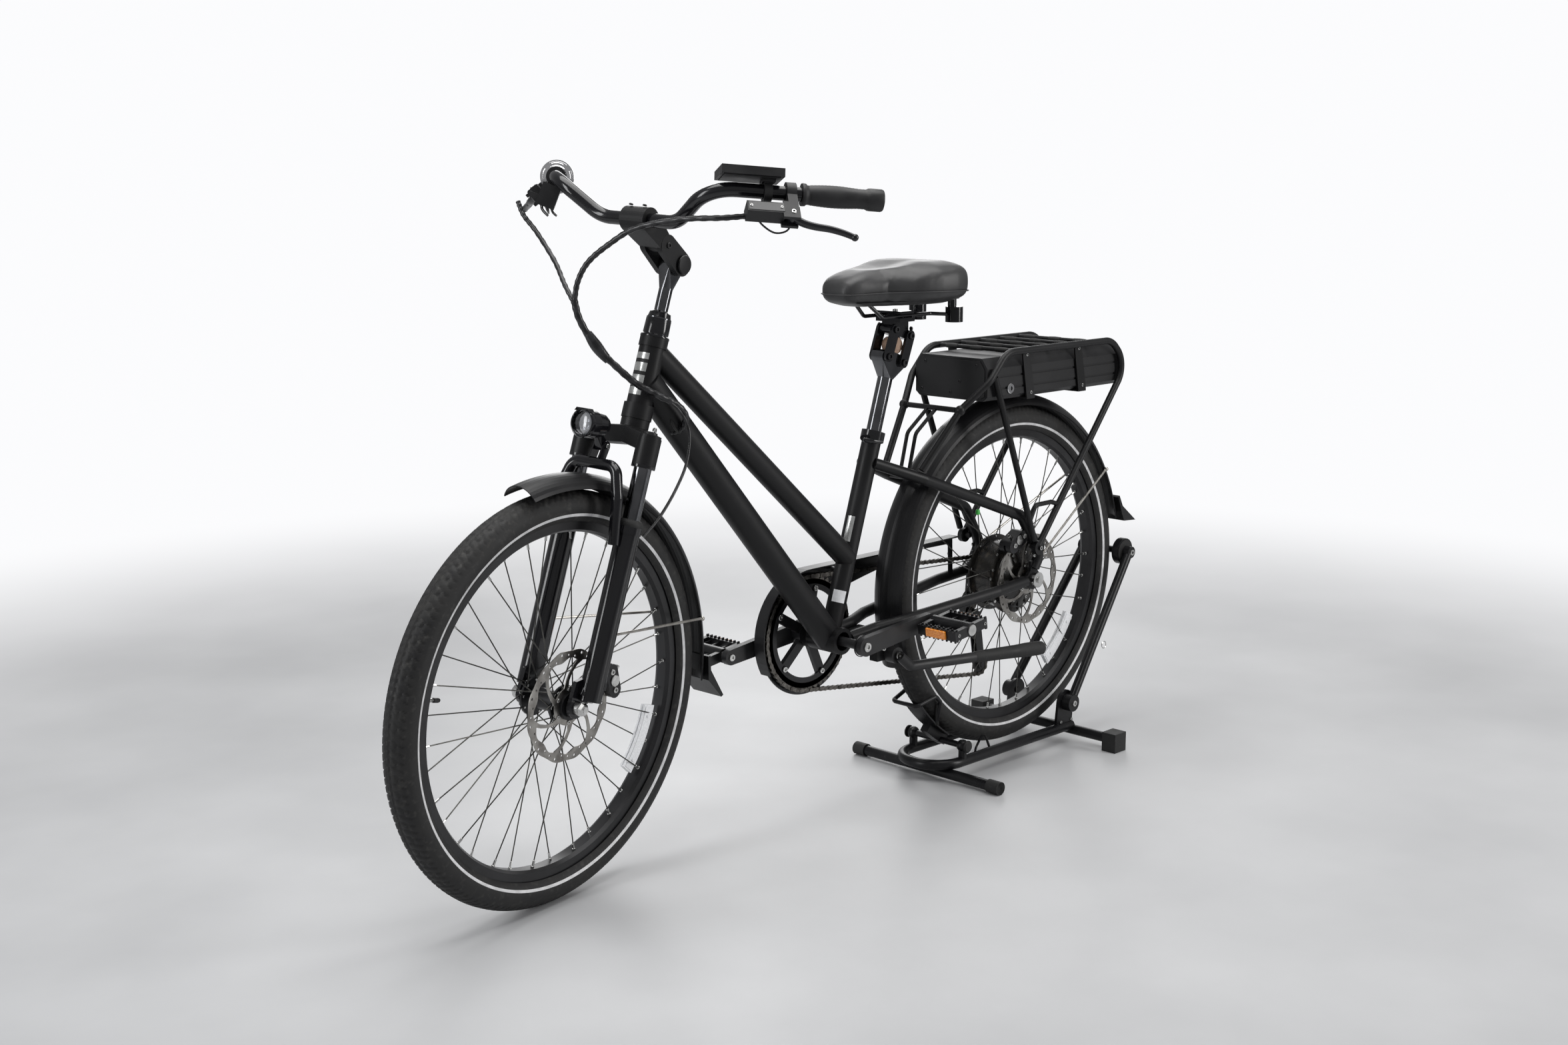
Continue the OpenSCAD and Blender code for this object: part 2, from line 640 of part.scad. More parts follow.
module headlamp() {
    color(black) fork() difference() {
        union() {
            translate(lamp_at) rotate([0, 97, 0]) rotate_extrude()
                polygon([[0, -6], [14, 0], [20, 12], [22.5, 30], [22.5, 52], [20.3, 52], [20.3, 34], [0, 34]]);
            hull() {
                translate([lamp_pivot.x, -7, lamp_pivot.z]) rotate([-90, 0, 0]) cylinder(h = 14, r = 8, $fn = 32);
                translate([78, 0, 418]) cylinder(h = 2, r = 7, $fn = 32);
            }
        }
        across(lamp_pivot, -20, 20, 3 + run);
    }
}
module headlamp_lens() {
    color([0.85, 0.88, 0.9]) fork() translate(lamp_at) rotate([0, 97, 0]) rotate_extrude()
        polygon([[0, 42], [20.1, 40], [20.1, 50], [0, 54]]);
}

// ---- Steering and controls ----

module stem_riser() {
    color(black) fork() {
        rod([0, 0, steerer_top + 0.1], [0, 0, 690], 22.2);
        difference() {
            rod([0, 0, head_high + gap], [0, 0, 626], 40);
            rod([0, 0, head_high], [0, 0, steerer_top + 0.1], steerer_d + 0.1);
        }
        difference() {
            hull() {
                rod([0, 0, 674], [0, 0, 676], 22);
                translate([0, -12, elbow_t]) rotate([-90, 0, 0]) cylinder(h = 24, r = 19, $fn = 32);
            }
            across([0, 0, elbow_t], -40, 40, 4 + run);
        }
    }
}
module stem_arm() {
    color(black) fork() difference() {
        union() {
            for (y = [-23, 12.5]) hull() {
                across([0, 0, elbow_t], y, y + 10.5, 19, $fn = 32);
                across([44, 0, elbow_t + 19], y, y + 10.5, 17, $fn = 32);
            }
            hull() {
                across([58, 0, elbow_t + 25], -22, 22, 15, $fn = 32);
                across(bar_clamp, -24, 24, 20, $fn = 32);
            }
            across([0, 0, elbow_t], -26, 26, 4);
            across([44, 0, elbow_t + 19], -20, 20, 12);
        }
        across(bar_clamp, -40, 40, bar_d / 2 + run);
    }
}
module handlebar() {
    half = [bar_end, bar_bend, bar_low];
    color(black) fork() bent_tube(concat(half, flip([bar_low, bar_bend, bar_end])), bar_d, 58);
}
module grips() {
    inner = 143;
    color(black) for (side = [-1, 1]) grip_section(side) rotate_extrude()
        polygon([[bar_d / 2 + run, inner], [17, inner], [17, inner + 6], [14.5, inner + 12], [16, inner + 50],
            [15, inner + 100], [17, inner + 114], [17, bar_reach + 3], [0, bar_reach + 3], [0, bar_reach + 0.1],
            [bar_d / 2 + run, bar_reach + 0.1]]);
}
module display() {
    color(black) grip_section(1) {
        translate([0, -23, 62]) rotate([0, 0, -15]) translate([-30, -8, -48]) cube([58, 13, 96]);
        difference() {
            union() {
                translate([0, 0, 84]) cylinder(h = 12, r = 16);
                translate([-6, -24, 84]) cube([14, 14, 12]);
            }
            translate([0, 0, 80]) cylinder(h = 20, r = bar_d / 2 + run);
        }
    }
}
module perch() {
    difference() {
        union() {
            translate([0, 0, 118]) cylinder(h = 15, r = 17);
            rotate([0, 0, lever_roll]) {
                // Neck, fluid reservoir and the ears on both sides of the lever's eye
                translate([12, -12, 118]) cube([27, 24, 15]);
                translate([28, -12, 110]) cube([11.5, 24, 16]);
                translate([32, -12, 54]) cube([20, 24, 58]);
                for (y = [-12, 7]) translate([38, y, 108]) cube([22, 5, 26]);
                translate([lever_x, -12, lever_z]) rotate([-90, 0, 0]) cylinder(h = 24, r = 2.5);
            }
        }
        translate([0, 0, 40]) cylinder(h = 100, r = bar_d / 2 + run);
    }
}
module brake_perches() color(black) for (side = [-1, 1]) grip_section(side) perch();
module lever_blade(side) {
    color(black) lever_section(side) difference() {
        union() {
            rotate([-90, 0, 0]) translate([0, 0, -6]) cylinder(h = 12, r = 8);
            bent_tube([[4, 0, 4], [14, 0, 20], [18, 0, 54], [32, 0, 91]], 9, 9);
            translate([33, 0, 92]) sphere(r = 6);
        }
        rotate([-90, 0, 0]) translate([0, 0, -10]) cylinder(h = 20, r = 2.5 + run);
    }
}
module brake_lever_left() lever_blade(1);
module brake_lever_right() lever_blade(-1);
module shifter() {
    color(black) grip_section(-1) difference() {
        union() {
            translate([0, 0, 44]) cylinder(h = 11, r = 16);
            rotate([0, 0, 70]) translate([14, -15, 26]) cube([37, 30, 26]);
            rotate([0, 0, 70]) translate([36, -30, 30]) cube([9, 16, 14]);
        }
        translate([0, 0, 0]) cylinder(h = 60, r = bar_d / 2 + run);
    }
}
// Twist bell: a stepped chrome drum round the bar between the shifter and the brake perch
module bell() {
    steps = [[58, 17], [60, 20], [63, 22], [67, 24.5], [72, 26.5], [77, 27.5], [88, 27.5]];
    color(steel) grip_section(-1) difference() {
        union() for (i = [0:len(steps) - 2])
            translate([0, 0, steps[i][0]]) cylinder(h = 90 - steps[i][0], r = steps[i][1]);
        translate([0, 0, 40]) cylinder(h = 60, r = bar_d / 2 + run);
    }
}

// ---- Cables held along their real route ----

cable_left = [[916, 226, 1085], [920, 192, 1074], [948, 125, 1071], [975, 55, 1057], [993, 10, 1031],
    [1009, -20, 1004], [1018, -35, 974], [1020, -42, 942]];
cable_right = [[1000, -205, 1094], [999, -192, 1072], [994, -165, 1045], [1003, -110, 1002], [1016, -70, 968],
    [1020, -42, 940]];
cable_trunk = [[1020, -42, 944], [1013, -38, 914], [994, -25, 874], [974, 0, 842], [948, 20, 813],
    [917, 34, 794], [884, 42, 776], [864, 40, 754], [861, 24, 734], [868, 8, 728]];
front_hose = [[917, 36, 794], [886, 46, 770], [867, 50, 734], [881, 60, 688], [911, 68, 649], [950, 74, 611],
    [988, 76, 582]];
module control_cables() {
    color(black) bike() {
        swept(curve(cable_right, 3), 8, 8);
        swept(curve(cable_left, 3), 9, 8);
        swept(curve(cable_trunk, 3), 12, 8);
        swept(curve(front_hose, 3), 5, 8);
    }
}

// ---- Seat ----

module seatpost() {
    top = seat_top + 118 * seat_dir;
    color(steel) bike() {
        rod(bb + 190 * seat_dir, top, seatpost_d);
        difference() {
            hull() {
                across(link_low_front, -14, 14, 12, $fn = 32);
                across(link_low_rear, -14, 14, 12, $fn = 32);
                rod(top - 16 * seat_dir, top - 12 * seat_dir, seatpost_d + 1.6);
            }
            across(link_low_front, -30, 30, 4 + run);
            across(link_low_rear, -30, 30, 4 + run);
        }
    }
}
// A pair of side plates with a pin through both ends
module seat_link(low) {
    high = low + link_vector;
    color(black) bike() {
        for (y = [-20, 14.4]) hull() { across(low, y, y + 5.6, 10, $fn = 32); across(high, y, y + 5.6, 10, $fn = 32); }
        across(low, -22, 22, 4);
        across(high, -22, 22, 4);
    }
}
module link_front() seat_link(link_low_front);
module link_rear() seat_link(link_low_rear);
module seat_head() {
    front = link_low_front + link_vector;
    rear = link_low_rear + link_vector;
    color(black) bike() difference() {
        union() {
            hull() { across(front, -14, 14, 8, $fn = 32); across(rear, -14, 14, 8, $fn = 32); }
            translate([clamp_at.x - 20, -14, clamp_at.z - 26]) cube([40, 28, 20]);
            translate([clamp_at.x - 20, -29, clamp_at.z - 8]) cube([40, 58, 7]);
            translate([clamp_at.x - 18, -29, clamp_at.z + 6]) cube([36, 58, 5]);
            translate([clamp_at.x - 6, -6, clamp_at.z - 4]) cube([12, 12, 12]);
        }
        across(front, -30, 30, 4 + run);
        // A looser bore, because the linkage is opened at the rear pin
        across(rear, -30, 30, 4.3);
        both_sides() rod([clamp_at.x - 40, 22, clamp_at.z + 2.5], [clamp_at.x + 40, 22, clamp_at.z + 2.5], 7.1);
    }
}
module saddle_rails() {
    rail = [[214, 44, 880], [252, 22, 882.5], [380, 22, 882.5], [420, 14, 916]];
    color(steel) bike() both_sides() {
        bent_tube(rail, 7, 14);
        translate([210, 44, 866]) cylinder(h = 28, r = 16);
        translate([216, 44, 893]) cylinder(h = 24, r = 8);
    }
}
module saddle() {
    color(black) bike() difference() {
        hull() {
            both_sides() translate([262, 70, 948]) scale([0.95, 0.92, 0.75]) sphere(r = 44, $fn = 32);
            both_sides() translate([330, 62, 942]) scale([0.95, 0.92, 0.75]) sphere(r = 42, $fn = 32);
            both_sides() translate([448, 16, 934]) scale([1, 1, 0.75]) sphere(r = 36, $fn = 32);
            translate([300, 0, 918]) cylinder(h = 20, r = 60, $fn = 32);
        }
        translate([200, -200, 860]) cube([400, 400, 52.5]);
    }
}

// ---- Kickstand ----

module kickstand_leg() {
    path = [kick_pivot + [0, 18, 0], [344, 64, 248], kick_foot];
    color(black) bike() difference() {
        union() {
            bent_tube(path, 19, 16);
            across(kick_pivot, 37.5, 57, 15);
        }
        across(kick_pivot, 10, 70, 4 + run);
    }
}
module kickstand_foot() {
    dir = unit(kick_foot - [344, 64, 248]);
    color(black) bike() rod(kick_foot + 0.05 * dir, kick_foot + 172 * dir, 27);
}

// ---- Floor stand ----

module stand_base() {
    z = 31;
    front_x = 223;
    rear_x = -150;
    u = [[rear_x, rail_half, z], [front_x + 34, rail_half, z], [front_x + 34, -rail_half, z], [rear_x, -rail_half, z]];
    color(black) bike() {
        difference() {
            union() {
                bent_tube(u, stand_tube_d, 58);
                rod([front_x, -foot_half, 12.5], [front_x, foot_half, 12.5], stand_tube_d);
                rod([rear_x, -foot_half, 22], [rear_x, foot_half, 22], stand_tube_d);
                // Rounded brackets that carry the folding arms
                both_sides() plate(rail_half - 3, rail_half + 3) hull() {
                    translate([arm_pivot.x, arm_pivot.z]) circle(r = 24);
                    translate([arm_pivot.x - 20, z]) square([50, 8]);
                }
                // Posts that carry the cradle's shaft
                both_sides() rod([cradle_pivot.x, rail_half, z], [cradle_pivot.x, rail_half, cradle_pivot.z], 16);
                both_sides() translate([cradle_pivot.x, rail_half, cradle_pivot.z]) sphere(r = 12);
            }
            across(arm_pivot, -90, 90, 6 + run);
            across(cradle_pivot, -90, 90, 6 + run);
        }
    }
}
module stand_feet() {
    cap = 15;
    color(black) bike() both_sides() {
        difference() {
            rod([223, foot_half - 24, 12.5], [223, foot_half + 4, 12.5], 25);
            rod([223, foot_half - 30, 12.5], [223, foot_half, 12.5], stand_tube_d + 0.02);
        }
        difference() {
            translate([-168, foot_half - 26, 0]) cube([36, 32, 38]);
            rod([-150, foot_half - 40, 22], [-150, foot_half, 22], stand_tube_d + 0.02);
        }
    }
}
module stand_arms() {
    start = arm_pivot + [0, 76, 0];
    end = roller_at + [0, 57, 0];
    color(black) bike() {
        difference() {
            both_sides() {
                rod(start, end, 18);
                across(start, 65.5, 85, 17);
                across(roller_at, 47, 64, 12);
            }
            across(roller_at, -80, 80, 5 + run);
        }
        both_sides() across(arm_pivot, 56, 80, 6);
    }
}
module stand_roller() {
    color(black) bike() {
        across(roller_at, -66, 66, 5);
        across(roller_at, -34, 34, 7);
        both_sides() across(roller_at, 33, 46.5, 27);
    }
}
module wheel_cradle() {
    from = -57.5;
    to = -39;
    inside = tyre_r + 3;
    hoop = [[217, 19, 101], [226, 36, 150], [240, 37, 164], [287, 30, 152]];
    color(black) bike() {
        across(cradle_pivot, -70, 70, 6);
        // Trough under the tyre, its rib and the wire hoop round the front of the tyre
        translate([0, 0, rear_z]) {
            wheel_arc(from, to) polygon([[inside, -22], [inside + 3, -22], [inside + 3, 22], [inside, 22]]);
            wheel_arc(from - 2, from + 8) polygon([[inside + 2.9, -9], [inside + 21, -9], [inside + 21, 9], [inside + 2.9, 9]]);
        }
        bent_tube(concat(hoop, flip([hoop[3], hoop[2], hoop[1], hoop[0]])), 8, 10);
    }
}

// ---- Drawing ----

stand_base();
stand_feet();
stand_arms();
stand_roller();
wheel_cradle();
main_frame();
chainstays();
seatstays();
rear_rack();
rear_fender();
chain_guard();
chain();
derailleur();
derailleur_cage();
rear_caliper();
seat_clamp();
rear_axle();
control_cables();
battery_case();
kickstand_leg();
kickstand_foot();
fork_crown();
fork_stanchions();
stem_riser();
stem_arm();
handlebar();
grips();
display();
brake_perches();
shifter();
bell();
brake_lever_left();
brake_lever_right();
fork_lowers();
front_caliper();
front_fender();
front_axle();
headlamp();
headlamp_lens();
front_tyre();
front_rim();
front_spokes();
front_hub();
front_rotor();
rear_tyre();
rear_rim();
rear_spokes();
hub_motor();
rear_rotor();
freewheel_cogs();
cranks();
chainring();
pedal_left();
pedal_right();
seatpost();
link_front();
link_rear();
seat_head();
saddle();
saddle_rails();
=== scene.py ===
"""Looks for an electric bicycle that stands in a folding floor stand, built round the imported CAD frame.

Sizes are written in millimetres in the bicycle's own frames, as in the CAD source, and every matrix
below takes them to metres in the row frame.
"""

import math

import bmesh
import bpy
import numpy as np
from mathutils import Matrix, Vector, geometry


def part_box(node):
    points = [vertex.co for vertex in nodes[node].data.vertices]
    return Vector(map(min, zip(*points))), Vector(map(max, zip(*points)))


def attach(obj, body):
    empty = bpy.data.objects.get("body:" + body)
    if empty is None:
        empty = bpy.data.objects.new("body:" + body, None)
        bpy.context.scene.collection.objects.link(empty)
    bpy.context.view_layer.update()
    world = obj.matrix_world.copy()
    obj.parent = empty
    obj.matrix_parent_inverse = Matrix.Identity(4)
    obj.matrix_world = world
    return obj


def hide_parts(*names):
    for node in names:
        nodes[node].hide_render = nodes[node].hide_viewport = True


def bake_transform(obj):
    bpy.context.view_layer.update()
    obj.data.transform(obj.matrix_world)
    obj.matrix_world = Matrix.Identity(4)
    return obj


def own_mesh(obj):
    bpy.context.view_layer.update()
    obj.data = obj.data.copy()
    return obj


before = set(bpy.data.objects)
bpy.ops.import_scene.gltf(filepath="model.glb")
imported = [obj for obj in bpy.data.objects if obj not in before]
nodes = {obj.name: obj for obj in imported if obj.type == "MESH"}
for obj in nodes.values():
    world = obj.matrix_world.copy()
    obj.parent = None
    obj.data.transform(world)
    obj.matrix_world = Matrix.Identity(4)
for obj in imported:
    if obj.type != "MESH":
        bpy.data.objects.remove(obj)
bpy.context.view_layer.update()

# ---- Frames of reference, as in the CAD source ----

MIDDLE = (529.6, -2.5, 0)
REAR_Z = 358
TYRE_R, TYRE_W, RIM_R, ROTOR_R = 333, 54, 287, 90
SPOKES = 36
FORK_OFFSET = 50
RAKE = 90 - 71.565
STEER_REST = 8.8
BB = Vector((492, 0, 316))
SEAT_TOP = Vector((378, 0, 674))
SEAT_DIR = (SEAT_TOP - BB).normalized()
RING_R, COG_R, CHAIN_Y, PULLEY_R = 105, 28, -52, 20
PULLEY_UP, PULLEY_LOW = Vector((22, -52, 262)), Vector((6, -52, 166))
CRANK_LEN, CRANK_REST = 170, 6
BAR_BEND, BAR_END = Vector((142, 156, 806)), Vector((-55, 330, 857))
GRIP_LEN = (BAR_END - BAR_BEND).length
LEVER = (42, 48, 124)  # roll in degrees, distance from the bar and place along the grip section
LEG_X, LEG_Y = 34, 65
LEFT, RIGHT = (0, 1, 0), (0, -1, 0)


def shift(x, y, z):
    return Matrix.Translation((x, y, z))


def turned(degrees, axis):
    return Matrix.Rotation(math.radians(degrees), 4, axis)


bike = Matrix.Scale(0.001, 4) @ shift(*(-v for v in MIDDLE))
rear = bike @ shift(0, 0, REAR_Z)
fork = (bike @ shift(1128 - FORK_OFFSET * math.cos(math.radians(RAKE)), 0,
                     TYRE_R - FORK_OFFSET * math.sin(math.radians(RAKE)))
        @ turned(-RAKE, "Y") @ turned(STEER_REST, "Z"))
# The head tube doesn't turn with the fork
head = fork @ turned(-STEER_REST, "Z")
front = fork @ shift(FORK_OFFSET, 0, 0)
crank = bike @ Matrix.Translation(BB) @ turned(180 + CRANK_REST, "Y")
lamp = fork @ shift(71, 0, 436) @ turned(97, "Y")


def grip_section(side):
    """z runs outwards along one grip, x away from the rider and y downwards."""
    along = (BAR_END - BAR_BEND).normalized()
    rake = math.radians(RAKE)
    ahead = along.cross(Vector((math.sin(rake), 0, math.cos(rake)))).normalized()
    down = along.cross(ahead)
    section = Matrix((ahead, down, along)).transposed().to_4x4()
    section.translation = BAR_BEND
    mirror = Matrix.Diagonal((1, side, 1, 1))
    return fork @ mirror @ section


def lever_section(side):
    roll, x, z = LEVER
    return grip_section(side) @ turned(roll, "Z") @ shift(x, 0, z)


def pedal_frame(side):
    angle = math.radians(CRANK_REST)
    reach = 93 if side > 0 else 86
    centre = (-side * CRANK_LEN * math.cos(angle), reach, side * CRANK_LEN * math.sin(angle))
    return bike @ Matrix.Translation(BB) @ Matrix.Diagonal((1, side, 1, 1)) @ shift(*centre) @ turned(8, "Y")


# ---- Camera ----

def make_camera():
    place = Vector((2914.96, 2326.81, 1168.62))
    yaw, pitch, roll = (math.radians(a) for a in (-134.80, -10.817, -0.205))
    look = Vector((math.cos(pitch) * math.cos(yaw), math.cos(pitch) * math.sin(yaw), math.sin(pitch)))
    right = look.cross(Vector((0, 0, 1))).normalized()
    up = right.cross(look)
    level, lean = right, up
    right = level * math.cos(roll) + lean * math.sin(roll)
    up = lean * math.cos(roll) - level * math.sin(roll)
    data = bpy.data.cameras.new("camera")
    data.lens = 44.395
    data.sensor_width = 36
    data.clip_start, data.clip_end = 0.05, 200
    camera = bpy.data.objects.new("camera", data)
    bpy.context.scene.collection.objects.link(camera)
    turn = Matrix((right, up, -look)).transposed().to_4x4()
    camera.matrix_world = Matrix.Translation(bike @ place) @ turn
    bpy.context.scene.camera = camera


# ---- Shapes: each is (vertices, faces) in millimetres ----

def join(*shapes):
    verts, faces = [], []
    for v, f in shapes:
        start = len(verts)
        verts.extend(v)
        faces.extend(tuple(i + start for i in face) for face in f)
    return verts, faces


def placed(shape, matrix):
    return [tuple(matrix @ Vector(v)) for v in shape[0]], shape[1]


def grid(rows, columns, round_rows=False):
    """Faces of a grid whose columns close on themselves, and whose rows do if asked."""
    last = rows if round_rows else rows - 1
    return [(i * columns + j, i * columns + (j + 1) % columns,
             (i + 1) % rows * columns + (j + 1) % columns, (i + 1) % rows * columns + j)
            for i in range(last) for j in range(columns)]


def loft(rings):
    """A closed skin over rings of equal length, capped at both ends."""
    n = len(rings[0])
    faces = grid(len(rings), n)
    faces.append(tuple(reversed(range(n))))
    faces.append(tuple(range((len(rings) - 1) * n, len(rings) * n)))
    return [tuple(p) for ring in rings for p in ring], faces


def lathe(profile, steps=64, closed=False):
    """A (radius, height) profile turned round the y axis."""
    angles = [2 * math.pi * k / steps for k in range(steps)]
    rings = [[(r * math.cos(a), y, r * math.sin(a)) for a in angles] for r, y in profile]
    if closed:
        return [p for ring in rings for p in ring], grid(len(rings), steps, True)
    return loft(rings)


def upright(shape):
    """Turns a shape made round the y axis to stand round z."""
    return [(x, -z, y) for x, y, z in shape[0]], shape[1]


def cylinder(a, b, radius, steps=20, rim=0.6):
    """A round bar from a to b with softened ends."""
    a, b = Vector(a), Vector(b)
    length = (b - a).length
    rim = min(rim, radius * 0.4, length * 0.4)
    profile = [(radius - rim, 0), (radius, rim), (radius, length - rim), (radius - rim, length)]
    shape = upright(lathe(profile, steps))
    return placed(shape, Matrix.Translation(a) @ (b - a).to_track_quat("Z", "Y").to_matrix().to_4x4())


def curve(points, per_span=6):
    """Catmull-Rom curve through points."""
    p = [Vector(q) for q in points]
    out = []
    for i in range(len(p) - 1):
        a, b, c, d = p[max(i - 1, 0)], p[i], p[i + 1], p[min(i + 2, len(p) - 1)]
        for j in range(per_span):
            t = j / per_span
            out.append(0.5 * (2 * b + (c - a) * t + (2 * a - 5 * b + 4 * c - d) * t * t
                              + (3 * b - a - 3 * c + d) * t ** 3))
    return out + [p[-1]]


def tube(path, radius, sides=12, flat=1.0):
    """A tube along a path.

    radius is a number or a function of the share of the way, and flat thins it sideways.
    """
    path = [Vector(p) for p in path]
    n = len(path)
    size = radius if callable(radius) else lambda share: radius
    rings = []
    across = None
    for i, p in enumerate(path):
        along = (path[min(i + 1, n - 1)] - path[max(i - 1, 0)]).normalized()
        if across is None:
            across = along.cross(Vector((0, 0, 1)) if abs(along.z) < 0.9 else Vector((1, 0, 0)))
        across = (across - along * across.dot(along)).normalized()
        up = along.cross(across)
        r = size(i / (n - 1))
        rings.append([p + (across * math.cos(2 * math.pi * k / sides) * flat
                           + up * math.sin(2 * math.pi * k / sides)) * r for k in range(sides)])
    return loft(rings)


def arc(centre, radius, start, end, steps):
    return [(centre[0] + radius * math.cos(math.radians(start + (end - start) * k / steps)),
             centre[1] + radius * math.sin(math.radians(start + (end - start) * k / steps)))
            for k in range(steps + 1)]


def hole(x, z, radius, steps=12):
    return arc((x, z), radius, 0, 360, steps)[:-1]


def plate(outline, y0, y1, holes=()):
    """An outline in the xz plane with holes, made into a plate between y0 and y1."""
    loops = [list(outline), *[list(h) for h in holes]]
    flat = [(x, 0, z) for loop in loops for x, z in loop]
    caps = geometry.tessellate_polygon([[Vector((x, z, 0)) for x, z in loop] for loop in loops])
    n = len(flat)
    verts = [(x, y0, z) for x, _, z in flat] + [(x, y1, z) for x, _, z in flat]
    faces = [tuple(t) for t in caps] + [tuple(i + n for i in reversed(t)) for t in caps]
    start = 0
    for loop in loops:
        m = len(loop)
        faces += [(start + k, start + (k + 1) % m, start + (k + 1) % m + n, start + k + n) for k in range(m)]
        start += m
    return verts, faces


def block(low, high, taper=0.0):
    """A box from its low to its high corner, whose top is taper smaller all round."""
    (x0, y0, z0), (x1, y1, z1) = low, high
    t = taper
    verts = [(x0, y0, z0), (x1, y0, z0), (x1, y1, z0), (x0, y1, z0),
             (x0 + t, y0 + t, z1), (x1 - t, y0 + t, z1), (x1 - t, y1 - t, z1), (x0 + t, y1 - t, z1)]
    return verts, [(0, 3, 2, 1), (4, 5, 6, 7), (0, 1, 5, 4), (1, 2, 6, 5), (2, 3, 7, 6), (3, 0, 4, 7)]


def bolt(place, axis, radius=4.5, depth=4):
    """A socket-head bolt whose face points along axis."""
    wall = [(radius - 0.7, depth), (radius, depth - 0.8), (radius, 0)]
    socket = [(radius * 0.5, depth - 2), (radius * 0.5, depth)]
    shape = upright(lathe([*reversed(wall), *reversed(socket)], 24))
    turn = Vector(axis).to_track_quat("Z", "Y").to_matrix().to_4x4()
    return placed(shape, Matrix.Translation(Vector(place)) @ turn)


def ball(place, radius, steps=16):
    bends = [math.pi * k / 10 for k in range(11)]
    profile = [(max(radius * math.sin(bend), 0.01), -radius * math.cos(bend)) for bend in bends]
    return placed(lathe(profile, steps), Matrix.Translation(Vector(place)))


def both_sides(shape):
    mirrored = [(x, -y, z) for x, y, z in shape[0]]
    return join(shape, (mirrored, shape[1]))


def around(shape, count, first=0.0):
    """Copies of a shape spaced evenly round the y axis."""
    return join(*[placed(shape, turned(first + 360 * k / count, "Y")) for k in range(count)])


def piece(name, shape, at, body, look, bevel=0.0, sharp=35, replaces=()):
    """Makes one visible piece, finished in one of the LOOKS, that rides on a CAD body."""
    mesh = bpy.data.meshes.new(name)
    mesh.from_pydata([tuple(at @ Vector(v)) for v in shape[0]], [], shape[1])
    bm = bmesh.new()
    bm.from_mesh(mesh)
    bmesh.ops.remove_doubles(bm, verts=bm.verts, dist=1e-7)
    bmesh.ops.recalc_face_normals(bm, faces=bm.faces)
    bm.to_mesh(mesh)
    bm.free()
    mesh.shade_smooth()
    mesh.set_sharp_from_angle(angle=math.radians(sharp))
    mesh.materials.append(LOOKS[look])
    obj = bpy.data.objects.new(name, mesh)
    bpy.context.scene.collection.objects.link(obj)
    if bevel:
        rounding = obj.modifiers.new("rounding", "BEVEL")
        rounding.width = bevel * 0.001
        rounding.segments = 3
        rounding.limit_method = "ANGLE"
        rounding.angle_limit = math.radians(40)
        rounding.harden_normals = True
    if body:
        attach(obj, body)
    if replaces:
        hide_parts(*replaces)
    return obj


# ---- Materials ----

def new_material(name):
    material = bpy.data.materials.new(name)
    material.use_nodes = True
    tree = material.node_tree
    return material, tree, tree.nodes["Principled BSDF"]


def noise_node(tree, scale, detail=4):
    """Noise over the object's own coordinates, in metres."""
    coords = tree.nodes.new("ShaderNodeTexCoord")
    noise = tree.nodes.new("ShaderNodeTexNoise")
    noise.inputs["Scale"].default_value = scale
    noise.inputs["Detail"].default_value = detail
    tree.links.new(coords.outputs["Object"], noise.inputs["Vector"])
    return noise


def ramp_node(tree, source, stops):
    ramp = tree.nodes.new("ShaderNodeValToRGB")
    while len(ramp.color_ramp.elements) < len(stops):
        ramp.color_ramp.elements.new(0.5)
    for element, (place, colour) in zip(ramp.color_ramp.elements, stops):
        element.position = place
        element.color = (*colour, 1) if len(colour) == 3 else colour
    tree.links.new(source, ramp.inputs["Fac"])
    return ramp


def range_node(tree, source, low, high, source_low=0.3, source_high=0.7):
    scale = tree.nodes.new("ShaderNodeMapRange")
    scale.inputs["From Min"].default_value = source_low
    scale.inputs["From Max"].default_value = source_high
    scale.inputs["To Min"].default_value = low
    scale.inputs["To Max"].default_value = high
    tree.links.new(source, scale.inputs["Value"])
    return scale


def bump_node(tree, source, strength, distance, below=None):
    bump = tree.nodes.new("ShaderNodeBump")
    bump.inputs["Strength"].default_value = strength
    bump.inputs["Distance"].default_value = distance
    tree.links.new(source, bump.inputs["Height"])
    if below:
        tree.links.new(below.outputs["Normal"], bump.inputs["Normal"])
    return bump


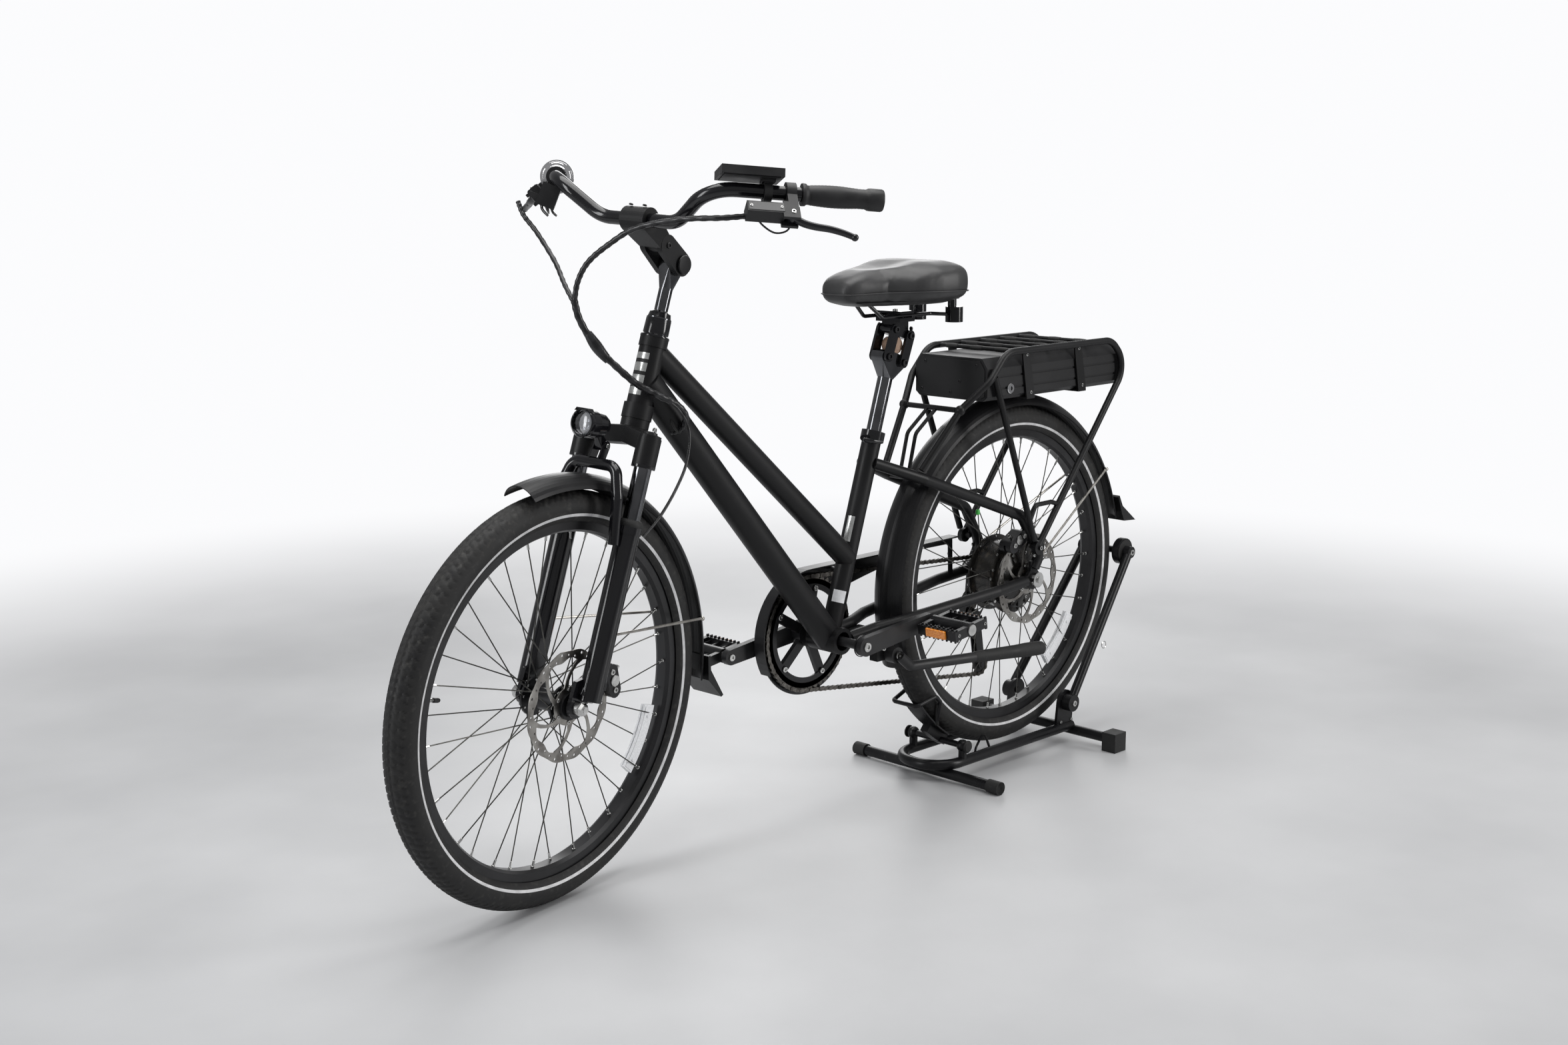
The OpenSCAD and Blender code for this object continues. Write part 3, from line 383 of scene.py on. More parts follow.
def surface(name, dark, light, rough, metal=0.0, patch=18, grain=900, grain_strength=0.25,
            specular=0.5, coat=0.0, coat_rough=0.05, wear=None):
    """A finish whose colour and gloss drift over patches, with fine grain in its bump.

    wear is (colour, share): thin dust or scuffs of that colour over a share of the surface.
    """
    material, tree, shader = new_material(name)
    drift = noise_node(tree, patch, 6)
    colour = ramp_node(tree, drift.outputs["Fac"], [(0.35, dark), (0.65, light)])
    result = colour.outputs["Color"]
    if wear:
        tint, share = wear
        scuffs = noise_node(tree, patch * 5, 12)
        mask = ramp_node(tree, scuffs.outputs["Fac"],
                         [(0.75 - share, (0, 0, 0)), (0.95 - share * 0.5, (0.8, 0.8, 0.8))])
        mix = tree.nodes.new("ShaderNodeMix")
        mix.data_type = "RGBA"
        mix.inputs["B"].default_value = (*tint, 1)
        tree.links.new(mask.outputs["Color"], mix.inputs["Factor"])
        tree.links.new(result, mix.inputs["A"])
        result = mix.outputs["Result"]
    tree.links.new(result, shader.inputs["Base Color"])
    fine = noise_node(tree, grain, 3)
    gloss = range_node(tree, drift.outputs["Fac"], rough * 0.86, rough * 1.18)
    tree.links.new(gloss.outputs["Result"], shader.inputs["Roughness"])
    bump = bump_node(tree, fine.outputs["Fac"], grain_strength, 0.00004)
    tree.links.new(bump.outputs["Normal"], shader.inputs["Normal"])
    shader.inputs["Metallic"].default_value = metal
    shader.inputs["Specular IOR Level"].default_value = specular
    shader.inputs["Coat Weight"].default_value = coat
    shader.inputs["Coat Roughness"].default_value = coat_rough
    return material


def leather(name, colour, light):
    """Black vinyl: small cells of grain over a soft drift."""
    material, tree, shader = new_material(name)
    coords = tree.nodes.new("ShaderNodeTexCoord")
    cells = tree.nodes.new("ShaderNodeTexVoronoi")
    cells.feature = "DISTANCE_TO_EDGE"
    cells.inputs["Scale"].default_value = 620
    tree.links.new(coords.outputs["Object"], cells.inputs["Vector"])
    creases = ramp_node(tree, cells.outputs["Distance"], [(0.0, (0, 0, 0)), (0.16, (1, 1, 1))])
    drift = noise_node(tree, 14, 5)
    tone = ramp_node(tree, drift.outputs["Fac"], [(0.35, colour), (0.68, light)])
    tree.links.new(tone.outputs["Color"], shader.inputs["Base Color"])
    gloss = range_node(tree, drift.outputs["Fac"], 0.36, 0.48)
    tree.links.new(gloss.outputs["Result"], shader.inputs["Roughness"])
    soft = noise_node(tree, 60, 4)
    wave = bump_node(tree, soft.outputs["Fac"], 0.12, 0.0008)
    bump = bump_node(tree, creases.outputs["Color"], 0.22, 0.00012, wave)
    tree.links.new(bump.outputs["Normal"], shader.inputs["Normal"])
    shader.inputs["Specular IOR Level"].default_value = 0.5
    return material


def clear(name, colour, rough=0.03, transmission=1.0):
    """Clear moulded plastic with a faint ripple."""
    material, tree, shader = new_material(name)
    ripple = noise_node(tree, 120, 2)
    tint = ramp_node(tree, ripple.outputs["Fac"], [(0.3, tuple(c * 0.94 for c in colour)), (0.7, colour)])
    tree.links.new(tint.outputs["Color"], shader.inputs["Base Color"])
    gloss = range_node(tree, ripple.outputs["Fac"], rough * 0.7, rough * 1.6)
    tree.links.new(gloss.outputs["Result"], shader.inputs["Roughness"])
    bump = bump_node(tree, ripple.outputs["Fac"], 0.05, 0.0002)
    tree.links.new(bump.outputs["Normal"], shader.inputs["Normal"])
    shader.inputs["Transmission Weight"].default_value = transmission
    shader.inputs["IOR"].default_value = 1.49
    return material


def reflector(name, colour, bright):
    """Moulded prism plastic: small cells under a smooth coat."""
    material, tree, shader = new_material(name)
    coords = tree.nodes.new("ShaderNodeTexCoord")
    cells = tree.nodes.new("ShaderNodeTexVoronoi")
    cells.inputs["Scale"].default_value = 420
    tree.links.new(coords.outputs["Object"], cells.inputs["Vector"])
    tone = ramp_node(tree, cells.outputs["Distance"], [(0.1, colour), (0.7, bright)])
    tree.links.new(tone.outputs["Color"], shader.inputs["Base Color"])
    bump = bump_node(tree, cells.outputs["Distance"], 0.4, 0.0004)
    tree.links.new(bump.outputs["Normal"], shader.inputs["Normal"])
    shader.inputs["Roughness"].default_value = 0.22
    shader.inputs["Coat Weight"].default_value = 0.7
    return material


def wrap_material(name):
    """Spiral cable wrap: glossy black tape with raised turns."""
    material, tree, shader = new_material(name)
    coords = tree.nodes.new("ShaderNodeTexCoord")
    turns = tree.nodes.new("ShaderNodeTexWave")
    turns.wave_type = "BANDS"
    turns.bands_direction = "DIAGONAL"
    turns.inputs["Scale"].default_value = 26
    turns.inputs["Distortion"].default_value = 2.5
    tree.links.new(coords.outputs["Object"], turns.inputs["Vector"])
    tone = ramp_node(tree, turns.outputs["Fac"], [(0.2, (0.006, 0.006, 0.007)), (0.8, (0.02, 0.02, 0.022))])
    tree.links.new(tone.outputs["Color"], shader.inputs["Base Color"])
    drift = noise_node(tree, 70, 4)
    gloss = range_node(tree, drift.outputs["Fac"], 0.22, 0.42)
    tree.links.new(gloss.outputs["Result"], shader.inputs["Roughness"])
    bump = bump_node(tree, turns.outputs["Fac"], 0.5, 0.0008)
    tree.links.new(bump.outputs["Normal"], shader.inputs["Normal"])
    return material


LOOKS = {
    "frame": surface("frame_matte", (0.0045, 0.0045, 0.005), (0.007, 0.007, 0.008), 0.44, patch=9,
                     grain=2600, grain_strength=0.12, specular=0.3),
    "gloss": surface("gloss_black", (0.004, 0.004, 0.005), (0.007, 0.007, 0.009), 0.16, patch=12, grain=700,
                     grain_strength=0.03, specular=0.4, coat=0.25, coat_rough=0.06),
    "fender": surface("fender_satin", (0.006, 0.006, 0.007), (0.010, 0.010, 0.011), 0.36, patch=11,
                      grain=1500, grain_strength=0.08, specular=0.36),
    "plastic": surface("moulded_plastic", (0.010, 0.010, 0.011), (0.018, 0.018, 0.019), 0.44, patch=30,
                       grain=2200, grain_strength=0.3, specular=0.4),
    "battery": surface("battery_plastic", (0.008, 0.008, 0.009), (0.013, 0.013, 0.014), 0.5, patch=14,
                       grain=3200, grain_strength=0.4, specular=0.35),
    "tyre": surface("tyre_rubber", (0.012, 0.012, 0.0125), (0.024, 0.0235, 0.023), 0.62, patch=22, grain=1400,
                    grain_strength=0.35, specular=0.35, wear=((0.06, 0.058, 0.054), 0.2)),
    "rubber": surface("soft_rubber", (0.012, 0.012, 0.012), (0.022, 0.022, 0.022), 0.6, patch=35, grain=1800,
                      grain_strength=0.35, specular=0.35, wear=((0.05, 0.05, 0.05), 0.15)),
    "grip": surface("grip_rubber", (0.011, 0.011, 0.012), (0.019, 0.019, 0.02), 0.5, patch=40, grain=2400,
                    grain_strength=0.45, specular=0.4),
    "stripe": surface("reflective_band", (0.62, 0.62, 0.63), (0.8, 0.8, 0.81), 0.35, patch=60, grain=3000,
                      grain_strength=0.1),
    "rim": surface("rim_anodised", (0.012, 0.012, 0.013), (0.022, 0.022, 0.024), 0.34, metal=0.3, patch=16,
                   grain=1200, grain_strength=0.08),
    "spoke": surface("spoke_steel", (0.05, 0.05, 0.047), (0.11, 0.108, 0.1), 0.3, metal=1.0, patch=60,
                     grain=1500, grain_strength=0.1),
    "steel": surface("bright_steel", (0.48, 0.48, 0.47), (0.66, 0.66, 0.65), 0.24, metal=1.0, patch=70,
                     grain=1500, grain_strength=0.15, wear=((0.25, 0.24, 0.22), 0.12)),
    "rotor": surface("rotor_steel", (0.17, 0.16, 0.15), (0.36, 0.35, 0.33), 0.3, metal=1.0, patch=40,
                     grain=2000, grain_strength=0.25, wear=((0.24, 0.22, 0.2), 0.15)),
    "chain": surface("oiled_chain", (0.07, 0.065, 0.06), (0.2, 0.19, 0.175), 0.33, metal=1.0, patch=90,
                     grain=900, grain_strength=0.2, wear=((0.03, 0.028, 0.025), 0.3)),
    "alloy": surface("black_alloy", (0.009, 0.009, 0.01), (0.017, 0.017, 0.019), 0.3, metal=0.35, patch=25,
                     grain=1300, grain_strength=0.12),
    "chrome": surface("chrome", (0.7, 0.7, 0.71), (0.82, 0.82, 0.83), 0.07, metal=1.0, patch=30, grain=600,
                      grain_strength=0.02),
    "dark_chrome": surface("dark_chrome", (0.10, 0.102, 0.108), (0.17, 0.172, 0.18), 0.12, metal=1.0,
                           patch=20, grain=700, grain_strength=0.03),
    "motor": surface("motor_cover", (0.007, 0.007, 0.008), (0.03, 0.028, 0.025), 0.24, metal=0.25, patch=16,
                     grain=900, grain_strength=0.15, wear=((0.12, 0.1, 0.08), 0.22)),
    "stand": surface("stand_enamel", (0.005, 0.005, 0.006), (0.009, 0.009, 0.01), 0.3, patch=16, grain=800,
                     grain_strength=0.12, specular=0.3, wear=((0.05, 0.05, 0.05), 0.1)),
    "wire": surface("wire_stay", (0.42, 0.40, 0.37), (0.58, 0.56, 0.52), 0.3, metal=0.9, patch=60, grain=1500,
                    grain_strength=0.1),
    "white": surface("sticker_white", (0.72, 0.73, 0.75), (0.85, 0.86, 0.88), 0.4, patch=90, grain=2000,
                     grain_strength=0.1),
    "silver": surface("silver_foil", (0.5, 0.51, 0.5), (0.74, 0.75, 0.74), 0.26, metal=0.85, patch=60,
                      grain=900, grain_strength=0.15),
    "green": surface("green_cap", (0.04, 0.45, 0.06), (0.08, 0.62, 0.1), 0.35, patch=200, grain=2000),
    "elastomer": surface("elastomer", (0.30, 0.19, 0.13), (0.42, 0.28, 0.2), 0.55, patch=120, grain=1500,
                         grain_strength=0.3),
    "screen": surface("screen_glass", (0.006, 0.007, 0.008), (0.011, 0.012, 0.013), 0.06, patch=30, grain=300,
                      grain_strength=0.01, coat=0.6),
    "lens": clear("lens_clear", (0.97, 0.98, 1.0)),
    "amber": reflector("amber_reflector", (0.75, 0.16, 0.01), (1.0, 0.38, 0.05)),
    "clear_reflector": reflector("clear_reflector", (0.82, 0.83, 0.85), (0.97, 0.98, 1.0)),
    "red": reflector("red_light", (0.35, 0.01, 0.01), (0.7, 0.04, 0.03)),
    "vinyl": leather("saddle_vinyl", (0.02, 0.02, 0.021), (0.034, 0.034, 0.035)),
    "wrap": wrap_material("cable_wrap"),
}

NODE_LOOKS = {
    "frame": ["main_frame", "chainstays", "seatstays", "rear_rack", "fork_crown", "stem_arm"],
    "gloss": ["fork_lowers", "handlebar", "headlamp", "link_front",
              "link_rear", "seat_head", "seat_clamp", "saddle_rails"],
    "fender": ["front_fender", "rear_fender", "chain_guard"],
    "plastic": ["display", "brake_perches", "shifter", "derailleur", "derailleur_cage", "kickstand_leg",
                "cranks"],
    "battery": ["battery_case"],
    "rubber": ["stand_feet", "kickstand_foot"],
    "rim": ["front_rim", "rear_rim"],
    "spoke": ["front_spokes", "rear_spokes"],
    "steel": ["front_axle", "rear_axle"],
    "alloy": ["front_hub", "chainring", "front_caliper", "rear_caliper", "brake_lever_left",
              "brake_lever_right", "pedal_left", "pedal_right"],
    "dark_chrome": ["fork_stanchions", "seatpost", "stem_riser"],
    "motor": ["hub_motor"],
    "stand": ["stand_base", "stand_arms", "stand_roller", "wheel_cradle"],
    "grip": ["grips"],
    "tyre": ["front_tyre", "rear_tyre"],
    "chrome": ["bell"],
    "lens": ["headlamp_lens"],
    "rotor": ["front_rotor", "rear_rotor"],
    "chain": ["chain", "freewheel_cogs"],
    "wrap": ["control_cables"],
    "vinyl": ["saddle"],
}


def dress_nodes():
    for look, names in NODE_LOOKS.items():
        for name in names:
            materials = nodes[name].data.materials
            materials.clear()
            materials.append(LOOKS[look])


# ---- Wheels ----

def tyre_point(bend, turn, depth):
    """A point on the tyre's skin: bend runs round its section and turn round the wheel, in radians."""
    r = TYRE_W / 2 - depth
    out = TYRE_R - TYRE_W / 2 + r * math.cos(bend)
    return out * math.cos(turn), r * math.sin(bend), out * math.sin(turn)


def tread_depth(bend, share):
    """Groove depth of a chevron tread; share is the way round the wheel in tread pitches."""
    b = abs(bend)
    if b > 1.0:
        return 0.0
    side = 1 if bend > 0 else -1
    slant = (share + 1.5 * b * 0.9 + (0.25 if side > 0 else -0.25)) % 1.0
    groove = 1.0 if slant < 0.2 and 0.16 < b < 0.93 else 0.0
    centre = 1.0 if abs(b - 0.1) < 0.035 else 0.0
    edge = 1.0 if abs(b - 0.55) < 0.03 and (share % 2.0) < 1.3 else 0.0
    return 1.6 * max(groove, centre, edge)


def tyre(name, at, body, node):
    steps, pitches, rows = 960, 160, 44
    bends = [-2.45 + 4.9 * k / rows for k in range(rows + 1)]
    rings = []
    for bend in bends:
        lip = 0.8 if abs(abs(bend) - 2.0) < 0.06 or abs(abs(bend) - 1.16) < 0.06 else 0.0
        rings.append([tyre_point(bend, 2 * math.pi * k / steps,
                                 tread_depth(bend, pitches * k / steps) + lip * 0.6) for k in range(steps)])
    inner = [[tyre_point(bend, 2 * math.pi * k / steps, 3.4) for k in range(steps)]
             for bend in (2.4, 1.2, 0, -1.2, -2.4)]
    shape = [p for ring in rings + inner for p in ring], grid(len(rings) + 5, steps, True)
    piece(name, shape, at, body, "tyre", sharp=50, replaces=[node])
    # The pale band on each side wall lies just proud of the skin
    for side, word in ((1, "left"), (-1, "right")):
        low, high = 1.84, 2.02
        section = ((low, 0.05), (low + 0.01, 0.45), (high - 0.01, 0.45), (high, 0.05), (high, -0.6),
                   (low, -0.6))
        band = [(TYRE_R - 27 + (27 + lift) * math.cos(b), side * (27 + lift) * math.sin(b))
                for b, lift in section]
        piece(f"{name}_band_{word}", lathe(band, 240, True), at, body, "stripe", sharp=60)


def spoke_ends(flange_r, left, right, lead):
    """Hub and rim ends of every spoke, as the CAD lays them."""
    ends = []
    for i in range(SPOKES):
        side = 1 if i % 2 == 0 else -1
        way = 1 if i // 2 % 2 == 0 else -1
        a = math.radians(10 * i)
        h = math.radians(10 * i + way * lead)
        rim = RIM_R - 18
        y = (left if side > 0 else right) + side * way * 1.6
        ends.append((Vector((flange_r * math.cos(h), y, flange_r * math.sin(h))),
                     Vector((rim * math.cos(a), side * (3 + way), rim * math.sin(a)))))
    return ends


def wheel_details(word, at, body, ends, valve_turn, reflector_turn):
    nipples, heads = [], []
    for hub, rim in ends:
        way = (hub - rim).normalized()
        nipples.append(cylinder(rim - way * 1.5, rim + way * 4, 2.9, 8))
        nipples.append(cylinder(rim + way * 3, rim + way * 13, 2.0, 8))
        out = Vector((0, math.copysign(1, hub.y), 0))
        heads.append(cylinder(hub - out * 2.4, hub + out * 3.2, 2.1, 8))
        heads.append(cylinder(hub + out * 2.6, hub + out * 4.4, 3.2, 10))
    piece(f"{word}_nipples", join(*nipples), at, body, "steel")
    piece(f"{word}_spoke_heads", join(*heads), at, body, "steel")
    # Tube valve with its knurled cap
    turn = turned(-valve_turn, "Y")
    stem = upright(lathe([(3.2, 0), (3.2, 14), (2.5, 15), (2.5, 17)], 16))
    cap = upright(lathe([(2.9, 17), (3.9, 18), (3.9, 27), (2.9, 30)], 12))
    point_in = shift(RIM_R - 18, 0, 0) @ turned(-90, "Y")
    nut = upright(lathe([(6, -1), (6, 2.4), (4, 3.2)], 6))
    piece(f"{word}_valve", placed(join(stem, nut), turn @ point_in), at, body, "steel")
    piece(f"{word}_valve_cap", placed(cap, turn @ point_in), at, body, "plastic", sharp=20)
    # Clear reflector clipped between the spokes
    def strip(inner, outer, half_turn, y0, y1):
        outline = arc((0, 0), outer, reflector_turn - half_turn, reflector_turn + half_turn, 24)
        outline += arc((0, 0), inner, reflector_turn + half_turn, reflector_turn - half_turn, 24)
        return plate(outline, y0, y1)

    lens = join(strip(231, 255, 13.4, 1, 4.4), strip(234, 252, 12.8, 4.2, 5.4))
    piece(f"{word}_reflector", both_sides(lens), at, body, "clear_reflector", bevel=0.8)
    clips = []
    for lean in (-9, 9):
        a = math.radians(reflector_turn + lean)
        x, z = 243 * math.cos(a), 243 * math.sin(a)
        clips.append(cylinder((x, -7, z), (x, 7, z), 3, 12))
    piece(f"{word}_reflector_clips", join(*clips), at, body, "clear_reflector")


def rotor(name, at, body, y, hub_r, node):
    """A drilled brake rotor with curved arms and a scalloped inner edge."""
    waves = 12

    def wavy(radius, depth, steps):
        turns = [2 * math.pi * k / steps for k in range(steps)]
        reach = [radius + depth * math.cos(waves * a) for a in turns]
        return [(r * math.cos(a), r * math.sin(a)) for r, a in zip(reach, turns)]

    outer = wavy(ROTOR_R - 1.1, 1.1, 180)
    holes = [wavy(ROTOR_R - 15, -2.4, 144)]
    for k in range(36):
        a = 2 * math.pi * k / 36
        r = ROTOR_R - 5.2 - 2.9 * (k % 3)
        holes.append(hole(r * math.cos(a + 0.03), r * math.sin(a + 0.03), 2.1 if k % 3 else 2.5, 10))
    band = plate(outer, y, y + 1.9, holes)
    centre = plate(hole(0, 0, hub_r + 9, 60), y, y + 1.9, [hole(0, 0, hub_r, 60)])
    arms = []
    for k in range(6):
        start = k * 60
        left, right = [], []
        for t, w in ((0, 5.5), (0.25, 3.6), (0.5, 3.0), (0.75, 3.6), (1, 6)):
            a = math.radians(start + 34 * t)
            r = hub_r + 6 + (ROTOR_R - hub_r - 19) * t
            left.append((r * math.cos(a) - w * math.sin(a), r * math.sin(a) + w * math.cos(a)))
            right.append((r * math.cos(a) + w * math.sin(a), r * math.sin(a) - w * math.cos(a)))
        arms.append(plate(left + right[::-1], y + 0.05, y + 1.85))
    piece(name, join(band, centre, *arms), at, body, "rotor", replaces=[node])
    screws = join(*[bolt(((hub_r + 4.6) * math.cos(a), y + 1.6, (hub_r + 4.6) * math.sin(a)), LEFT, 3.4, 2.2)
                    for a in (math.radians(60 * k + 12) for k in range(6))])
    piece(f"{name}_screws", screws, at, body, "steel")


def make_wheels():
    tyre("front_tyre_skin", front, "front_wheel", "front_tyre")
    tyre("rear_tyre_skin", rear, "rear_wheel", "rear_tyre")
    wheel_details("front", front, "front_wheel", spoke_ends(27, 29, -33, 36), -5, 190)
    wheel_details("rear", rear, "rear_wheel", spoke_ends(71, 25, -25, 17), 145, 222)
    rotor("front_rotor_disc", front, "front_wheel", 38, 22, "front_rotor")
    rotor("rear_rotor_disc", rear, "rear_wheel", 59.6, 22, "rear_rotor")
    # Cover screws and ribs of the motor, washers on the rear axle and nuts on the front axle
    covers = join(*[bolt((48 * math.cos(a), 40.4, 48 * math.sin(a)), LEFT, 3.4, 2.4)
                    for a in (math.radians(45 * k + 20) for k in range(8))])
    ribs = around(block((34, 37, -2), (60, 40.6, 2)), 16)
    piece("motor_screws", covers, rear, "rear_wheel", "steel")
    piece("motor_ribs", ribs, rear, "rear_wheel", "motor", bevel=1.0)
    washers = [placed(lathe([(15, 0), (15, 1.4), (14.4, 2)], 32), shift(0, y, 0)) for y in (86.5, -92.5)]
    piece("rear_axle_washers", join(*washers), rear, "frame", "steel")
    caps = join(*[placed(lathe([(11.4, 0), (11.4, 3), (9, 8), (6.2, 9.5)], 6), shift(0, 66, 0)),
                  placed(lathe([(6.2, -9.5), (9, -8), (11.4, -3), (11.4, 0)], 6), shift(0, -66.8, 0))])
    piece("front_axle_nuts", caps, front, "fork_lower", "steel", sharp=20)


# ---- Drive ----

def toothed(teeth, root, tip, y0, y1, inner, holes=()):
    outline = []
    flank = root + (tip - root) * 0.55
    for k in range(teeth):
        for part, r in ((0.0, root), (0.22, flank), (0.42, tip), (0.58, tip), (0.78, flank)):
            a = 2 * math.pi * (k + part) / teeth
            outline.append((r * math.cos(a), r * math.sin(a)))
    return plate(outline, y0, y1, [hole(0, 0, inner, 60), *holes])


def make_cogs():
    shapes = []
    for i, (r, teeth) in enumerate(zip((54, 47, 40, 24.2, 22, 20), (28, 24, 21, 14, 12, 11))):
        y = -41 - 4 * i
        slots = [hole((r + 16) / 2 * math.cos(a), (r + 16) / 2 * math.sin(a), (r - 16) * 0.17, 12)
                 for a in (2 * math.pi * k / 7 for k in range(7))] if r > 30 else []
        shapes.append(toothed(teeth, r - 2.6, r + 2.2 if i < 3 else r + 2, y + 0.1, y + 1.9, 15, slots))
    core = lathe([(6.2, -67), (15.6, -67), (17, -66), (17, -39), (15.6, -38.5), (6.2, -38.5)], 48, True)
    piece("cog_stack", join(*shapes, core), rear, "freewheel", "chain", replaces=["freewheel_cogs"])


def tangent_angle(a, b, reach, sign):
    """Angle at which a straight run leaves circle a for circle b, as in the CAD source."""
    d = b - a
    return math.degrees(math.atan2(d.y, d.x) + sign * math.acos(reach / d.length))


def chain_path():
    """The chain's pitch line in the xz plane, and the index where each stretch starts."""
    ring, cog = Vector((BB.x, BB.z)), Vector((0, REAR_Z))
    low, up = Vector((PULLEY_LOW.x, PULLEY_LOW.z)), Vector((PULLEY_UP.x, PULLEY_UP.z))
    top = tangent_angle(ring, cog, RING_R - COG_R, -1)
    under = tangent_angle(ring, low, RING_R - PULLEY_R, 1)
    behind = tangent_angle(low, up, 2 * PULLEY_R, 1)
    back = tangent_angle(cog, up, COG_R + PULLEY_R, -1)
    return (arc(ring, RING_R, top, under, 60) + arc(low, PULLEY_R, under, behind - 360, 24)
            + arc(up, PULLEY_R, behind - 180, back + 180, 16) + arc(cog, COG_R, back + 360, top, 24))


def make_chain():
    """Roller chain laid link by link along its pitch line."""
    line = [Vector(p) for p in chain_path()]
    line.append(line[0])
    lengths = [0.0]
    for a, b in zip(line, line[1:]):
        lengths.append(lengths[-1] + (b - a).length)
    count = 2 * round(lengths[-1] / 12.7 / 2)
    pitch = lengths[-1] / count
    xs, zs = [p.x for p in line], [p.y for p in line]

    def at(s):
        s %= lengths[-1]
        return Vector((float(np.interp(s, lengths, xs)), float(np.interp(s, lengths, zs))))

    outline = arc((pitch / 2, 0), 4.1, -90, 90, 6) + [(0, 3.0)]
    outline += arc((-pitch / 2, 0), 4.1, 90, 270, 6) + [(0, -3.0)]
    groups = {"fixed": [], "cage": [], "low": []}
    for k in range(count):
        a, b = at(k * pitch), at((k + 1) * pitch)
        mid, way = (a + b) / 2, b - a
        angle = math.degrees(math.atan2(way.y, way.x))
        wide = (2.5, 3.4) if k % 2 else (1.6, 2.4)
        link = join(plate(outline, wide[0], wide[1]), plate(outline, -wide[1], -wide[0]))
        link = placed(link, shift(mid.x, CHAIN_Y, mid.y) @ turned(-angle, "Y"))
        roller = cylinder((a.x, CHAIN_Y - 1.8, a.y), (a.x, CHAIN_Y + 1.8, a.y), 3.9, 12, 0.3)
        pin = cylinder((a.x, CHAIN_Y - 3.7, a.y), (a.x, CHAIN_Y + 3.7, a.y), 1.8, 8, 0.3)
        near_cage = mid.x < 60 and mid.y < 320
        low_run = mid.y < 215 and 60 <= mid.x < 170 or (mid.x < 60 and mid.y < 166)
        groups["low" if low_run else "cage" if near_cage else "fixed"] += [link, roller, pin]
    piece("chain_links", join(*groups["fixed"]), bike, "frame", "chain",
          replaces=["chain"])
    cage = piece("chain_links_guide", join(*groups["cage"]), bike, None, "chain")
    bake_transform(cage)
    low = piece("chain_links_return", join(*groups["low"]), bike, None, "chain")
    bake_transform(low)


def make_drive():
    make_cogs()
    make_chain()
    piece("chainring_teeth", toothed(48, RING_R - 5, RING_R + 2.4, CHAIN_Y - 1, CHAIN_Y + 1, RING_R - 14),
          crank, "crank", "chain")
    pin = join(bolt((RING_R - 22, -50.2, 0), LEFT, 5.4, 2.4), bolt((RING_R - 22, -61, 0), RIGHT, 5.4, 2.4))
    pins = around(pin, 5)
    rivets = around(cylinder((RING_R + 2, -62, 0), (RING_R + 2, -57.8, 0), 2.2, 10), 5, 36)
    piece("chainring_bolts", join(pins, rivets), crank, "crank", "steel")
    hubs = join(bolt((0, 92.6, 0), LEFT, 8.5, 3.4), bolt((0, -85.6, 0), RIGHT, 8.5, 3.4),
                bolt((CRANK_LEN, 79.6, 0), RIGHT, 6.5, 2.6), bolt((-CRANK_LEN, -74.2, 0), LEFT, 6.5, 2.6))
    piece("crank_bolts", hubs, crank, "crank", "steel")
    rim = lathe([(19.5, 79), (19.5, 80.5), (18, 81), (18, 79)], 40, True)
    piece("crank_ring", rim, crank, "crank", "alloy")
    for side, word in ((1, "left"), (-1, "right")):
        at, body = pedal_frame(side), f"pedal_{word}"
        glass = [block((x, 29.4, -7.6), (x + 4.8, 74.6, 7.6)) for x in (-48.6, 43.8)]
        piece(f"pedal_reflectors_{word}", join(*glass), at, body, "amber", bevel=1.2)
        teeth = []
        for x in (-43, -41, 37, 43):
            for k in range(9):
                y = 14 + 10 * k
                teeth.append(cylinder((x, y, -12), (x, y, -8.5), 2.2, 8, 1.2))
                teeth.append(cylinder((x, y, 8.5), (x, y, 12), 2.2, 8, 1.2))
        ribs = [block((-38, y - 2, -4), (38, y + 2, 4)) for y in (34, 60, 82)]
        piece(f"pedal_teeth_{word}", join(*teeth, *ribs), at, body, "alloy", bevel=0.5)
        ends = join(cylinder((0, 3.5, 0), (0, 8, 0), 10, 6), cylinder((0, 95.5, 0), (0, 99, 0), 10.5, 24),
                    *[bolt((x, 95.6, 0), LEFT, 3.2, 2) for x in (-38, 34)])
        piece(f"pedal_hardware_{word}", ends, at, body, "steel")
    # Guide wheels with teeth, and the derailleur's own screws
    for p, word in ((PULLEY_UP, "upper"), (PULLEY_LOW, "lower")):
        shape = join(toothed(11, 14.5, 20.5, -1.2, 1.2, 6), cylinder((0, -9.4, 0), (0, -7.9, 0), 5, 20),
                     cylinder((0, 7.9, 0), (0, 9.2, 0), 5, 20))
        piece(f"guide_wheel_{word}", placed(shape, Matrix.Translation(p)), bike, "derailleur_cage", "plastic")
    screws = join(bolt((12, -83.6, 300), RIGHT, 5, 3), bolt((26, -79.6, 276), RIGHT, 5.5, 3),
                  bolt((4, -79.4, 366), RIGHT, 4, 3), bolt((84, -67.6, 400), RIGHT, 3.4, 2.4),
                  bolt((330, -67.6, 408), RIGHT, 3.4, 2.4), bolt((460, -67.6, 425), RIGHT, 4, 2.4))
    piece("drive_screws", screws, bike, "frame", "steel")


# ---- Frame details ----

